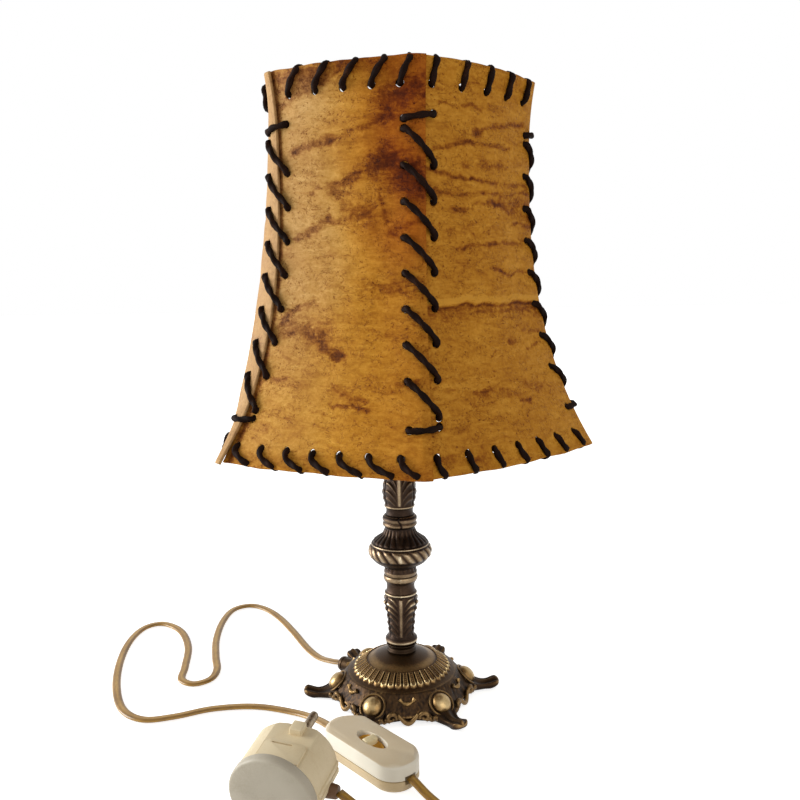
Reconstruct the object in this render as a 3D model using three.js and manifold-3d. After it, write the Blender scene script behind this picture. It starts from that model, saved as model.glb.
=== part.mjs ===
// A table lamp: a laced rawhide bell shade on a cast bronze column and a six-footed base, with a
// flat twin cord, an in-line rocker switch and a round plug. Every piece is its own named mesh.
// Units are millimetres, +Z is up, and the origin is on the table under the middle of the standing lamp.
import * as THREE from "three";
import { mergeVertices } from "three/addons/utils/BufferGeometryUtils.js";
import Module from "manifold-3d";

const wasm = await Module();
wasm.setup();

// Fits
const SEAT = 0.3; // gap between pieces that rest on each other
const SLIP = 0.3; // radial clearance of a piece in its bore
const CUT = 4; // how far a cutting solid runs past the face it opens

// The column's axis, from the middle of the lamp's bounds: the shade's five corners set it off centre
const COLUMN_PLACE = [-6.64, 5.3];

// Central rod
const ROD_RADIUS = 5;
const ROD_BORE = 3.5;
const ROD_BELOW_NUT = 4;
const ROD_IN_HOLDER = 8;
const NUT_HEIGHT = 5.6;
const NUT_RADIUS = 9.6;
const WASHER_RADIUS = 10.5;
const WASHER_HEIGHT = 1.3;

// Base casting, from the middle outwards and from the top down
const DOME_RADIUS = 22;
const PETAL_WIDTH = 9;
const BAND_WIDTH = 4;
const SKIRT_WIDTH = 11;
const DOME_DROP = 5.8;
const PETAL_DROP = 6;
const BAND_DROP = 1.4;
const SKIRT_DROP = 11.2;
const RIM_THICKNESS = 2;
const RIM_LIFT = 2.6;
const BASE_WALL = 3;
const DOME_WALL = 4;
const COLUMN_SEAT_RADIUS = 10.5;
const FOOT_COUNT = 6;
const FOOT_LENGTH = 16.5;
const FOOT_WIDTH = 14;
const FOOT_HEIGHT = 9.6;
const FOOT_ROOT = 7; // how far a foot reaches in under the skirt
const FOOT_TURN = 4.5; // degrees from +X to the first foot
const BOSS_RADIUS = 5.4;
const BOSS_SINK = 1.9;
const BOSS_SHARE = 0.45; // of the skirt's width
const BASE_SIDES = 24;

// Cord bush in the back of the skirt
const BUSH_TURN = 144; // degrees from +X
const BUSH_RADIUS = 4.6;
const BUSH_BORE = 3.2;
const BUSH_FLANGE = 1.2;
const BUSH_FLANGE_LENGTH = 3;
const BUSH_LENGTH = 13;
const BUSH_PROUD = 5;

// Column pieces from the bottom up: height, then radius at shares of that height
const COLUMN = [
  ["spool_collar", 4.9, [[0, 9.4], [0.2, 9.7], [0.5, 8.8], [0.8, 9.3], [1, 9.6]]],
  ["stem_lower", 32, [[0, 9], [0.04, 10.1], [0.09, 10.1], [0.13, 9], [0.2, 8], [0.4, 8.8], [0.56, 9],
    [0.74, 10.4], [0.86, 10.9], [0.95, 10.4], [1, 9.8]]],
  ["stem_ring", 12.8, [[0, 10.2], [0.1, 10.2], [0.18, 9.3], [0.45, 8.8], [0.66, 9.6], [0.75, 10.2],
    [0.88, 10.8], [1, 10.5]]],
  ["knop", 20.9, [[0, 10.4], [0.08, 10.7], [0.16, 9.8], [0.22, 9.8], [0.3, 12.4], [0.41, 15.8],
    [0.6, 19], [0.72, 19.6], [0.85, 19.2], [0.96, 18.1], [1, 17.8]]],
  ["stem_neck", 17.7, [[0, 17.4], [0.06, 16.8], [0.17, 14.2], [0.28, 10.7], [0.4, 9.8], [0.52, 9.5],
    [0.6, 10.5], [0.68, 10.7], [0.75, 10.2], [0.82, 10.7], [0.9, 10.7], [1, 9.2]]],
  ["stem_upper", 43.9, [[0, 8.6], [0.07, 8.5], [0.15, 9.7], [0.29, 10.7], [0.4, 10.3], [0.53, 9.2],
    [0.73, 8.3], [0.8, 8.5], [0.84, 9.6], [0.9, 10.4], [1, 11.8]]],
];
const COLUMN_SIDES = 12;

// Lampholder and lamp
const HOLDER_RADIUS = 13.7;
const HOLDER_WALL = 1.9;
const HOLDER_CAP_HEIGHT = 12.7;
const HOLDER_CAP_FLOOR = 3;
const HOLDER_HEIGHT = 49.7;
const FLANGE_RISE = 24.5;
const FLANGE_HEIGHT = 2.2;
const FLANGE_RADIUS = 18;
const INSERT_RISE = 4;
const INSERT_HEIGHT = 20;
const SHELL_RADIUS = 8;
const SHELL_WALL = 0.7;
const SHELL_HEIGHT = 18;
const CONTACT_RADIUS = 2.6;
const CONTACT_HEIGHT = 1.5;
const BULB_CAP_HEIGHT = 17;
const BULB_TIP_RADIUS = 3.4;
const BULB_TIP_HEIGHT = 2.5;
const BULB_RADIUS = 22.5;
const BULB_LENGTH = 61;
const BULB_WALL = 0.9;
const BULB_OUTLINE = [ // shares of the length and of the radius
  [0, 0.29], [0.12, 0.35], [0.34, 0.73], [0.5, 0.95], [0.65, 1], [0.82, 0.84], [0.95, 0.42],
];
const SHADE_RING_HEIGHT = 7;
const SHADE_RING_RADIUS = 17.5;
const SHADE_RING_LIP = 2;
const SHADE_RING_LIP_HEIGHT = 2.2;
const ROUND_SIDES = 12;

// Shade
// Degrees from +X to the seam at each panel's right edge, the front seam first
const SEAM_TURNS = [-81, -9, 63, 135, 214];
const PANELS = SEAM_TURNS.length;
const SHADE_HEIGHT = 208;
const SHADE_BELOW_FITTER = 37;
const TOP_RADIUS = 80.5; // to the corners of the rounded pentagon
const WAIST_RADIUS = 77.3;
const BOTTOM_RADIUS = 116;
const WAIST_BELOW_TOP = 35;
const FLARE_POWER = 2.35;
const TOP_BULGE = 0.5; // share of a full circle that a panel bows out
const BOTTOM_BULGE = 0.35;
const LEFT_SWELL = 0.33; // more of it on the last panel, at half its height
const HIDE = 1.3;
const OVERLAP = 4; // how far a panel's right edge lies over the next panel
const OVERLAP_LIFT = 1.2;
const OVERLAP_BEND = 0.6; // share of the corner that the overlapping edge follows
const PANEL_START = 0.7; // from the corner to the hidden left edge
const WIRE_RADIUS = 1.5;
const WIRE_INSET = 1; // from a rim to the wire behind it
const RIB_RADIUS = 1.25;
const WIRE_SIDES = 5;
const FITTER_THICKNESS = 1.5;
const FITTER_WIDTH = 7;
const FITTER_SLIP = 0.5;
const PANEL_ROWS = 7; // facets of a panel, up and across
const PANEL_STEPS = 5;

// Lacing
const LACE = 3.6;
const LACE_GAP = 0.55;
const LACE_EASE = 0.3; // more room where the lace turns over an edge
const LACE_SIDES = 4;
const HOLE = 5.2;
const TOP_STITCHES = 5; // on each panel
const BOTTOM_STITCHES = 7;
const TOP_HOLE_DROP = 13;
const BOTTOM_HOLE_RISE = 11;
const TOP_SLANT = 5.5; // sideways run of a stitch on the outside
const BOTTOM_SLANT = 8;
const SLANT_LEAD = 0.33; // share of a stitch's run that lies left of its place
const SEAM_STITCHES = 8;
const SEAM_BELOW_TOP = 35;
const SEAM_ABOVE_BOTTOM = 28;
const SEAM_HOLE_BEFORE = 6.3; // from a hole in the upper panel to the corner
const SEAM_HOLE_AFTER = 8.5; // from the corner to a hole in the panel below it
const SEAM_END_STEP = 7;
const LACE_TAIL = 8;

// Cord, laid on the table
const CORD_WIDTH = 5.4;
const CORD_THICKNESS = 2.7;
const CORD_HEIGHT = 1.5; // of the cord's middle where it lies on the table
const CORD_STEP = 15.5;

// In-line switch
const SWITCH_PLACE = [-17.5, -86];
const SWITCH_TURN = -48.5;
const SWITCH_LENGTH = 65;
const SWITCH_WIDTH = 26;
const SHELL_LIFT = 0.3; // off the table
const SWITCH_WALL = 2.2;
const SWITCH_FLOOR = 2.4;
const LOWER_OUTLINE = [[3.8, 0], [1.2, 2.2], [0, 4.7], [0, 8]]; // inset and height above the foot
const UPPER_OUTLINE = [[0, 0], [0.7, 3.4], [2.2, 6.8], [3.8, 8.2]];
const UPPER_HOLLOW = [[2.2, -4], [2.6, 3], [4.4, 6]];
const LUG_SINK = 0.5; // of the lugs and posts in the roof
const SCREW_INTO_POST = 2;
const ROCKER_LENGTH = 17;
const ROCKER_WIDTH = 8.4;
const ROCKER_GAP = 1.3; // round the rocker in its window
const ROCKER_TILT = 8;
const ROCKER_RISE = 11.6; // of the rocker's pin above the table
const ROCKER_DEPTH = 2.2;
const ROCKER_SHOULDER = 1.7;
const ROCKER_RIDGE = 3.9;
const ROCKER_RIDGE_WIDTH = 3.6;
const ROCKER_END = 0.6; // height of its ends above the pin
const PIN_RADIUS = 1;
const LUG_WIDTH = 3;
const LUG_THICKNESS = 2;
const SCREW_OFFSET = 23;
const SCREW_RADIUS = 1.3;
const SCREW_HEAD = 2.6;
const SCREW_HEAD_HEIGHT = 1.1;
const POST_RADIUS = 3.2;
const STADIUM_STEPS = 4;

// Plug
const PLUG_PLACE = [-61.5, -150.5];
const PLUG_TURN = 71.7;
const PLUG_TILT = 10; // the pins' end stands up off the table
const PLUG_ROLL = 3;
const PLUG_RADIUS = 22.5;
const PLUG_COVER = 6;
const PLUG_DRUM_RADIUS = 20.4;
const PLUG_DRUM = 27;
const PLUG_FLAT = 17;
const PLUG_CHAMFER = 2.5;
const PLUG_PIN_RADIUS = 2.4;
const PLUG_PIN_LENGTH = 19;
const PLUG_PIN_SET = 7;
const PLUG_PIN_SPACING = 19;
const PLUG_PIN_STEPS = 8;
const PLUG_SIDES = 20;
const GUIDE = [6, 7, 3.4]; // block beside the upper pin
const GLAND_ALONG = 20;
const GLAND_DROP = 6;
const GLAND_RADIUS = 4.6;
const GLAND_LENGTH = 5;

// Coil of spare cord
const COIL_PLACE = [45, -188];
const COIL_RADIUS = 40;
const COIL_PITCH = 7.4;
const COIL_LAYER = 3.2;
const COIL_LIFT = 1;
const COIL_START = 75; // degrees, the turns run clockwise seen from above
const COIL_END = 180;
const COIL_WHOLE_TURNS = 4;
const COIL_STEPS = 16; // for each turn
const COIL_CLIMB = 0.2; // turns over which the cord climbs to the upper layer
const TIE_TURN = -60;
const TIE_WIDTH = 4;
const TIE_THICKNESS = 0.6;

const degrees = THREE.MathUtils.degToRad;
const lerp = THREE.MathUtils.lerp;
const point = (x, y, z) => new THREE.Vector3(x, y, z);

const finish = (color, roughness, metalness) =>
  new THREE.MeshStandardMaterial({ color, roughness, metalness });
const bronze = finish(0x7a6238, 0.42, 0.9);
const darkBronze = finish(0x3c2e1e, 0.3, 0.9);
const steel = finish(0x9a9a98, 0.4, 0.9);
const holderPlastic = finish(0xe6dfcf, 0.5, 0);
const porcelain = finish(0xf0ece2, 0.35, 0);
const brassSheet = finish(0xc9a24e, 0.35, 0.9);
const glass = finish(0xf6f2ea, 0.1, 0);
const hide = finish(0xb8843e, 0.6, 0);
const lace = finish(0x35200f, 0.7, 0);
const cordPlastic = finish(0x8a6428, 0.4, 0);
const ivory = finish(0xe6dcc4, 0.4, 0);
const amber = finish(0xc08a2e, 0.35, 0);

const lamp = new THREE.Group();

function add(name, geometry, material, parent = lamp) {
  const mesh = new THREE.Mesh(geometry, material);
  mesh.name = name;
  parent.add(mesh);
  return mesh;
}

// Solids from geometry and back

function merged(geometry) {
  const bare = new THREE.BufferGeometry();
  const source = geometry.index ? geometry.toNonIndexed() : geometry;
  bare.setAttribute("position", source.getAttribute("position").clone());
  return mergeVertices(bare, 1e-4);
}

function solid(geometry) {
  const closed = merged(geometry);
  const make = (triVerts) =>
    new wasm.Manifold(
      new wasm.Mesh({ numProp: 3, vertProperties: closed.attributes.position.array, triVerts }),
    );
  const triangles = new Uint32Array(closed.index.array);
  const made = make(triangles);
  return made.volume() < 0 ? make(triangles.slice().reverse()) : made;
}

function geometryOf(manifold) {
  const mesh = manifold.getMesh();
  const geometry = new THREE.BufferGeometry();
  geometry.setAttribute("position", new THREE.BufferAttribute(mesh.vertProperties, 3));
  geometry.setIndex(new THREE.BufferAttribute(mesh.triVerts, 1));
  geometry.computeVertexNormals();
  return geometry;
}

const outward = (geometry) => geometryOf(solid(geometry));

function box(length, width, height, place) {
  return new THREE.BoxGeometry(length, width, height).translate(...place);
}

// A cylinder along Z that starts at height z.
function rod(radius, height, z, sides = ROUND_SIDES) {
  const cylinder = new THREE.CylinderGeometry(radius, radius, height, sides);
  return cylinder.rotateX(Math.PI / 2).translate(0, 0, z + height / 2);
}

// A solid of revolution about Z from points of radius and height.
function turned(profile, sides = ROUND_SIDES) {
  const points = profile.map(([radius, z]) => new THREE.Vector2(radius, z));
  return outward(new THREE.LatheGeometry(points, sides).rotateX(Math.PI / 2));
}

// A turned piece with a straight bore: the outer points run from the bottom up.
function boredTurning(bore, outer, sides = ROUND_SIDES) {
  const low = outer[0][1];
  const high = outer[outer.length - 1][1];
  return turned([[bore, low], ...outer, [bore, high], [bore, low]], sides);
}

// Joins closed rings of points into one skin, with a flat cap at each end or closed on itself.
function loft(rings, closed = false) {
  const count = rings[0].length;
  const positions = rings.flat().flatMap((p) => [p.x, p.y, p.z]);
  const index = [];
  const last = closed ? rings.length : rings.length - 1;
  for (let i = 0; i < last; i += 1) {
    const a = i * count;
    const b = ((i + 1) % rings.length) * count;
    for (let j = 0; j < count; j += 1) {
      const k = (j + 1) % count;
      index.push(a + j, a + k, b + k, a + j, b + k, b + j);
    }
  }
  if (!closed) {
    const end = (rings.length - 1) * count;
    for (let j = 1; j < count - 1; j += 1) {
      index.push(0, j + 1, j, end, end + j, end + j + 1);
    }
  }
  const geometry = new THREE.BufferGeometry();
  geometry.setAttribute("position", new THREE.Float32BufferAttribute(positions, 3));
  geometry.setIndex(index);
  return outward(geometry);
}

// A round tube through points, turning with the path and never about itself.
function tube(path, radius, sides, closed = false) {
  const at = (i) => path[(i + path.length) % path.length];
  const tangents = path.map((p, i) => {
    const before = closed || i > 0 ? p.clone().sub(at(i - 1)).normalize() : point(0, 0, 0);
    const after = closed || i < path.length - 1 ? at(i + 1).clone().sub(p).normalize() : point(0, 0, 0);
    return before.add(after).normalize();
  });
  const start = Math.abs(tangents[0].z) < 0.9 ? point(0, 0, 1) : point(1, 0, 0);
  const normal = start.cross(tangents[0]).normalize();
  const rings = path.map((p, i) => {
    if (i > 0) {
      normal.applyQuaternion(new THREE.Quaternion().setFromUnitVectors(tangents[i - 1], tangents[i]));
    }
    const side = tangents[i].clone().cross(normal);
    return Array.from({ length: sides }, (_, j) => {
      const turn = (2 * Math.PI * j) / sides;
      return p.clone().addScaledVector(normal, radius * Math.cos(turn))
        .addScaledVector(side, radius * Math.sin(turn));
    });
  });
  return loft(rings, closed);
}

// Least clear distance between parts of a tube that are further apart along it than a few widths.
function leastGap(name, path, width, thickness = width) {
  const along = [0];
  path.forEach((p, i) => i > 0 && along.push(along[i - 1] + p.distanceTo(path[i - 1])));
  let least = Infinity;
  for (let i = 0; i < path.length; i += 1) {
    for (let j = i + 1; j < path.length; j += 1) {
      if (along[j] - along[i] > 3 * width) {
        const flat = Math.hypot(path[i].x - path[j].x, path[i].y - path[j].y) - width;
        const upright = Math.abs(path[i].z - path[j].z) - thickness;
        const round = path[i].distanceTo(path[j]) - width;
        least = Math.min(least, thickness < width ? Math.max(flat, upright) : round);
      }
    }
  }
  console.log(name + " least gap to itself " + least.toFixed(2) + " mm");
}

// Points part way along each straight stretch of a path, so that gaps are measured between corners too.
function refined(path, parts) {
  return path.flatMap((p, i) =>
    i === path.length - 1
      ? [p]
      : Array.from({ length: parts }, (_, k) => p.clone().lerp(path[i + 1], k / parts)),
  );
}

// Base casting

const baseTop = RIM_LIFT + RIM_THICKNESS + SKIRT_DROP + BAND_DROP + PETAL_DROP + DOME_DROP;
const rimRadius = DOME_RADIUS + PETAL_WIDTH + BAND_WIDTH + SKIRT_WIDTH;
const skirtTop = RIM_LIFT + RIM_THICKNESS + SKIRT_DROP;
const bandRadius = rimRadius - SKIRT_WIDTH;
const petalRadius = bandRadius - BAND_WIDTH;
const domeEdge = baseTop - DOME_DROP;

function skirtHeight(share) {
  return skirtTop - SKIRT_DROP * lerp(share, share ** 1.3, 0.4);
}

function footSection(reach) {
  const length = FOOT_LENGTH + FOOT_ROOT;
  const share = reach / length;
  const width = FOOT_WIDTH * lerp(1.1, 0.34, share ** 1.6);
  const top = FOOT_HEIGHT * (1 - 0.42 * share ** 2);
  const bottom = share > 0.9 ? 0.8 : 0;
  const radius = rimRadius - FOOT_ROOT + reach;
  const shoulder = lerp(bottom, top, 0.6);
  return [
    point(radius, -width / 2, bottom),
    point(radius, -width / 2, shoulder),
    point(radius, -width / 4, top),
    point(radius, width / 4, top),
    point(radius, width / 2, shoulder),
    point(radius, width / 2, bottom),
  ];
}

function baseCasting() {
  const outer = [
    [0, baseTop],
    [COLUMN_SEAT_RADIUS, baseTop],
    [DOME_RADIUS * 0.66, baseTop - DOME_DROP * 0.12],
    [DOME_RADIUS * 0.87, baseTop - DOME_DROP * 0.5],
    [DOME_RADIUS, domeEdge],
    [petalRadius, domeEdge - PETAL_DROP],
    [bandRadius, skirtTop],
    ...[0.35, 0.7, 1].map((share) => [bandRadius + SKIRT_WIDTH * share, skirtHeight(share)]),
    [rimRadius, RIM_LIFT],
    [0, RIM_LIFT],
  ];
  const inner = [
    [0, baseTop - DOME_WALL],
    [COLUMN_SEAT_RADIUS, baseTop - DOME_WALL],
    [DOME_RADIUS - BASE_WALL, domeEdge - BASE_WALL * 0.6],
    [petalRadius - BASE_WALL * 0.6, domeEdge - PETAL_DROP - BASE_WALL],
    [bandRadius - BASE_WALL * 0.6, skirtTop - BASE_WALL],
    [rimRadius - BASE_WALL, RIM_LIFT + RIM_THICKNESS * 0.4],
    [rimRadius - BASE_WALL, -CUT],
    [0, -CUT],
  ];
  let casting = solid(turned(outer, BASE_SIDES));
  const bossRadius = bandRadius + SKIRT_WIDTH * BOSS_SHARE;
  for (let i = 0; i < FOOT_COUNT; i += 1) {
    const turn = degrees(FOOT_TURN + (360 / FOOT_COUNT) * i);
    const steps = [0, 0.35, 0.65, 0.86, 1].map((share) => footSection((FOOT_LENGTH + FOOT_ROOT) * share));
    const foot = loft(steps).rotateZ(turn);
    const boss = new THREE.SphereGeometry(BOSS_RADIUS, 8, 4);
    boss.translate(bossRadius, 0, skirtHeight(BOSS_SHARE) - BOSS_SINK).rotateZ(turn);
    casting = casting.add(solid(foot)).add(solid(boss));
  }
  const bushHole = rod(BUSH_RADIUS + SLIP, BUSH_LENGTH + CUT, 0);
  bushHole.rotateY(Math.PI / 2).translate(bushEnd - BUSH_LENGTH - CUT / 2, 0, bushHeight);
  casting = casting
    .subtract(solid(turned(inner, BASE_SIDES)))
    .subtract(solid(rod(ROD_RADIUS + SLIP, baseTop + CUT, 0)))
    .subtract(solid(bushHole.rotateZ(degrees(BUSH_TURN))));
  return geometryOf(casting);
}

const bushHeight = BUSH_RADIUS + BUSH_FLANGE + SEAT;
const bushEnd = rimRadius + BUSH_PROUD;

function cordBush() {
  const bush = boredTurning(BUSH_BORE, [
    [BUSH_RADIUS, 0],
    [BUSH_RADIUS, BUSH_LENGTH - BUSH_FLANGE_LENGTH],
    [BUSH_RADIUS + BUSH_FLANGE, BUSH_LENGTH - BUSH_FLANGE_LENGTH],
    [BUSH_RADIUS + BUSH_FLANGE * 0.4, BUSH_LENGTH],
  ]);
  return bush.rotateY(Math.PI / 2).translate(bushEnd - BUSH_LENGTH, 0, bushHeight)
    .rotateZ(degrees(BUSH_TURN));
}

add("base_casting", baseCasting(), bronze);
add("cord_bush", cordBush(), holderPlastic);

// Column on its rod

let columnTop = baseTop;
for (const [name, height, shares] of COLUMN) {
  const foot = columnTop + SEAT;
  const outer = shares.map(([share, radius]) => [radius, foot + share * height]);
  const metal = name === "spool_collar" ? darkBronze : bronze;
  add(name, boredTurning(ROD_RADIUS + SLIP, outer, COLUMN_SIDES), metal);
  columnTop = foot + height;
}

const washerTop = baseTop - DOME_WALL - SEAT;
const nutTop = washerTop - WASHER_HEIGHT - SEAT;
const holderFoot = columnTop + SEAT;
const rodFoot = nutTop - NUT_HEIGHT - ROD_BELOW_NUT;
const rodTop = holderFoot + HOLDER_CAP_FLOOR + ROD_IN_HOLDER;
const ringOf = (bore, radius, low, height, sides) =>
  boredTurning(bore, [[radius, low], [radius, low + height]], sides);
add("rod_washer", ringOf(ROD_RADIUS + SLIP, WASHER_RADIUS, washerTop - WASHER_HEIGHT, WASHER_HEIGHT), steel);
const nutBlank = solid(rod(NUT_RADIUS, NUT_HEIGHT, nutTop - NUT_HEIGHT, 6));
const nutBore = solid(rod(ROD_RADIUS + SLIP, NUT_HEIGHT + 2 * CUT, nutTop - NUT_HEIGHT - CUT));
add("rod_nut", geometryOf(nutBlank.subtract(nutBore)), steel);
add("threaded_rod", ringOf(ROD_BORE, ROD_RADIUS, rodFoot, rodTop - rodFoot, 12), steel);

// Lampholder, bulb and shade ring

const holderCapTop = holderFoot + HOLDER_CAP_HEIGHT;
const bodyFoot = holderCapTop + SEAT;
const bodyTop = bodyFoot + HOLDER_HEIGHT;
const holderBore = HOLDER_RADIUS - HOLDER_WALL;
const flangeTop = bodyFoot + FLANGE_RISE + FLANGE_HEIGHT;
const fitterFoot = flangeTop + SEAT;
const insertTop = bodyFoot + INSERT_RISE + INSERT_HEIGHT;
const contactTop = insertTop + SEAT + CONTACT_HEIGHT;
const bulbCapFoot = contactTop + SEAT;
const bulbCapTop = bulbCapFoot + BULB_CAP_HEIGHT;
const glassFoot = bulbCapTop + SEAT;

const holderCap = turned([
  [ROD_RADIUS + SLIP, holderFoot],
  [HOLDER_RADIUS * 0.9, holderFoot],
  [HOLDER_RADIUS, holderFoot + HOLDER_CAP_FLOOR],
  [HOLDER_RADIUS, holderCapTop],
  [holderBore, holderCapTop],
  [holderBore, holderFoot + HOLDER_CAP_FLOOR],
  [ROD_RADIUS + SLIP, holderFoot + HOLDER_CAP_FLOOR],
  [ROD_RADIUS + SLIP, holderFoot],
]);
const holderBody = boredTurning(holderBore, [
  [HOLDER_RADIUS, bodyFoot],
  [HOLDER_RADIUS, flangeTop - FLANGE_HEIGHT],
  [FLANGE_RADIUS, flangeTop - FLANGE_HEIGHT],
  [FLANGE_RADIUS, flangeTop],
  [HOLDER_RADIUS, flangeTop],
  [HOLDER_RADIUS, bodyTop],
]);
add("holder_cap", holderCap, holderPlastic);
add("holder_body", holderBody, holderPlastic);
add("contact_block", outward(rod(holderBore - SLIP, INSERT_HEIGHT, bodyFoot + INSERT_RISE)), porcelain);
add("centre_contact", outward(rod(CONTACT_RADIUS, CONTACT_HEIGHT, insertTop + SEAT, 10)), brassSheet);
const screwShell = ringOf(SHELL_RADIUS - SHELL_WALL, SHELL_RADIUS, insertTop + SEAT, SHELL_HEIGHT);
add("screw_shell", screwShell, brassSheet);

const bulbCapRadius = SHELL_RADIUS - SHELL_WALL - SLIP;
const bulbCap = turned([
  [0, bulbCapFoot],
  [BULB_TIP_RADIUS, bulbCapFoot],
  [bulbCapRadius, bulbCapFoot + BULB_TIP_HEIGHT],
  [bulbCapRadius, bulbCapTop],
  [0, bulbCapTop],
]);
const glassSkin = (wall) =>
  BULB_OUTLINE.map(([share, wide]) => [BULB_RADIUS * wide - wall, glassFoot + share * (BULB_LENGTH - wall)]);
const bulbGlass = turned([
  ...glassSkin(0),
  [0, glassFoot + BULB_LENGTH],
  [0, glassFoot + BULB_LENGTH - BULB_WALL],
  ...glassSkin(BULB_WALL).reverse(),
  glassSkin(0)[0],
]);
add("bulb_cap", bulbCap, steel);
add("bulb_glass", bulbGlass, glass);

const ringFoot = fitterFoot + FITTER_THICKNESS + SEAT;
const shadeRing = boredTurning(HOLDER_RADIUS + SLIP, [
  [SHADE_RING_RADIUS + SHADE_RING_LIP, ringFoot],
  [SHADE_RING_RADIUS + SHADE_RING_LIP, ringFoot + SHADE_RING_LIP_HEIGHT],
  [SHADE_RING_RADIUS, ringFoot + SHADE_RING_LIP_HEIGHT],
  [SHADE_RING_RADIUS, ringFoot + SHADE_RING_HEIGHT],
]);
add("shade_ring", shadeRing, holderPlastic);

// Shade surface: a rounded pentagon whose sides are arcs and whose corners are the seams

const shadeFoot = fitterFoot + FITTER_THICKNESS / 2 - SHADE_BELOW_FITTER;
const shadeTop = shadeFoot + SHADE_HEIGHT;
const waistZ = shadeTop - WAIST_BELOW_TOP;
const rightSeam = (side) => degrees(SEAM_TURNS[side]);
const leftSeam = (side) => (side > 0 ? rightSeam(side - 1) : rightSeam(PANELS - 1) - 2 * Math.PI);
const halfSide = (side) => (rightSeam(side) - leftSeam(side)) / 2;
const sideMiddle = (side) => (rightSeam(side) + leftSeam(side)) / 2;

function bellRadius(z) {
  if (z > waistZ) {
    return WAIST_RADIUS + (TOP_RADIUS - WAIST_RADIUS) * ((z - waistZ) / WAIST_BELOW_TOP) ** 2;
  }
  const down = (waistZ - z) / (waistZ - shadeFoot);
  return WAIST_RADIUS + (BOTTOM_RADIUS - WAIST_RADIUS) * down ** FLARE_POWER;
}

// How much rounder the left-hand panel is than the others, most at half its height
const leftSwell = (z) => LEFT_SWELL * Math.max(Math.sin((Math.PI * (z - shadeFoot)) / SHADE_HEIGHT), 0) ** 1.5;

// A measure of the bell as the facets have it, straight between the panels' rows.
const rowZ = (row) => shadeFoot + (SHADE_HEIGHT * row) / PANEL_ROWS;

function alongRows(z, measure) {
  const below = Math.floor(((z - shadeFoot) / SHADE_HEIGHT) * PANEL_ROWS);
  const row = THREE.MathUtils.clamp(below, 0, PANEL_ROWS - 1);
  const share = (z - rowZ(row)) / (rowZ(row + 1) - rowZ(row));
  return lerp(measure(rowZ(row)), measure(rowZ(row + 1)), share);
}

// The arc of a side at a height: its radius and its centre's distance from the lamp's axis.
function sideArc(side, z) {
  const corner = alongRows(z, bellRadius);
  const half = halfSide(side);
  const swell = side === PANELS - 1 ? alongRows(z, leftSwell) : 0;
  const bulge = lerp(BOTTOM_BULGE, TOP_BULGE, (z - shadeFoot) / SHADE_HEIGHT) + swell;
  const halfChord = corner * Math.sin(half);
  const rise = bulge * corner * (1 - Math.cos(half));
  const radius = (halfChord ** 2 + rise ** 2) / (2 * rise);
  const swing = 2 * Math.asin(halfChord / radius);
  return { radius, swing, centre: corner * Math.cos(half) + rise - radius, chord: 2 * halfChord };
}

const smooth = (share) => THREE.MathUtils.smoothstep(share, 0, 1);
const liftAt = (share) => OVERLAP_LIFT * smooth((share - 0.8) / 0.2);

// A point at a share of a side from its left corner to its right one, off the middle of the hide.
function sidePoint(side, share, z, off) {
  const { radius, centre } = sideArc(side, z);
  const angle = lerp(-halfSide(side), halfSide(side), share);
  const along = centre * Math.cos(angle);
  const reach = along + Math.sqrt(along ** 2 - centre ** 2 + (radius + off) ** 2);
  const turn = sideMiddle(side) + angle;
  return point(reach * Math.cos(turn), reach * Math.sin(turn), z);
}

// The same on the hide itself, which lifts at its right edge and runs on past the corner.
function hidePoint(side, share, z, off, past = 0) {
  if (past === 0) {
    return sidePoint(side, share, z, off + liftAt(share));
  }
  const next = (side + 1) % PANELS;
  const swing = sideArc(side, z).swing / 2;
  const turn = halfSide(side) + halfSide(next) - swing - sideArc(next, z).swing / 2;
  const corner = sidePoint(side, 1, z, liftAt(1));
  const heading = sideMiddle(side) + swing + Math.PI / 2 + OVERLAP_BEND * turn;
  const out = heading - Math.PI / 2;
  return corner.add(point(
    past * Math.cos(heading) + off * Math.cos(out),
    past * Math.sin(heading) + off * Math.sin(out),
    0,
  ));
}

// Lacing heights and places

const laceOut = HIDE / 2 + LACE_GAP + LACE / 2;
const topHoleZ = shadeTop - TOP_HOLE_DROP;
const bottomHoleZ = shadeFoot + BOTTOM_HOLE_RISE;
const seamTopZ = shadeTop - SEAM_BELOW_TOP;
const seamFootZ = shadeFoot + SEAM_ABOVE_BOTTOM;
const seamPitch = (seamTopZ - seamFootZ) / SEAM_STITCHES;
const seamLevel = (k) => seamTopZ - k * seamPitch;
const seamStartZ = seamTopZ + SEAM_END_STEP;
const seamEndZ = seamFootZ - SEAM_END_STEP;
const asShare = (length, side, z) => length / sideArc(side, z).chord;
const leftShare = (side, z) => 1 - asShare(SEAM_HOLE_BEFORE, side, z);
const rightShare = (side, z) => asShare(SEAM_HOLE_AFTER, side, z);
const rimShare = (i, count, slant, side, z) => (i + 0.5) / count - asShare(slant * SLANT_LEAD, side, z);

function holesOf(side) {
  const levels = Array.from({ length: SEAM_STITCHES + 1 }, (_, k) => seamLevel(k));
  const rim = (count, slant, z) =>
    Array.from({ length: count }, (_, i) => [rimShare(i, count, slant, side, z), z]);
  const right = [seamStartZ, ...levels].map((z) => [leftShare(side, z), z]);
  const left = [seamStartZ, ...levels.slice(1), seamEndZ].map((z) => [rightShare(side, z), z]);
  return [
    ...rim(TOP_STITCHES, TOP_SLANT, topHoleZ),
    ...rim(BOTTOM_STITCHES, BOTTOM_SLANT, bottomHoleZ),
    ...right,
    ...left,
  ].map(([share, z]) => {
    const middle = hidePoint(side, share, z, 0);
    const outside = hidePoint(side, share, z, 1);
    const heading = Math.atan2(outside.y - middle.y, outside.x - middle.x);
    return box(6 * HIDE, HOLE, HOLE, [0, 0, 0]).rotateZ(heading).translate(middle.x, middle.y, middle.z);
  });
}

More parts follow.
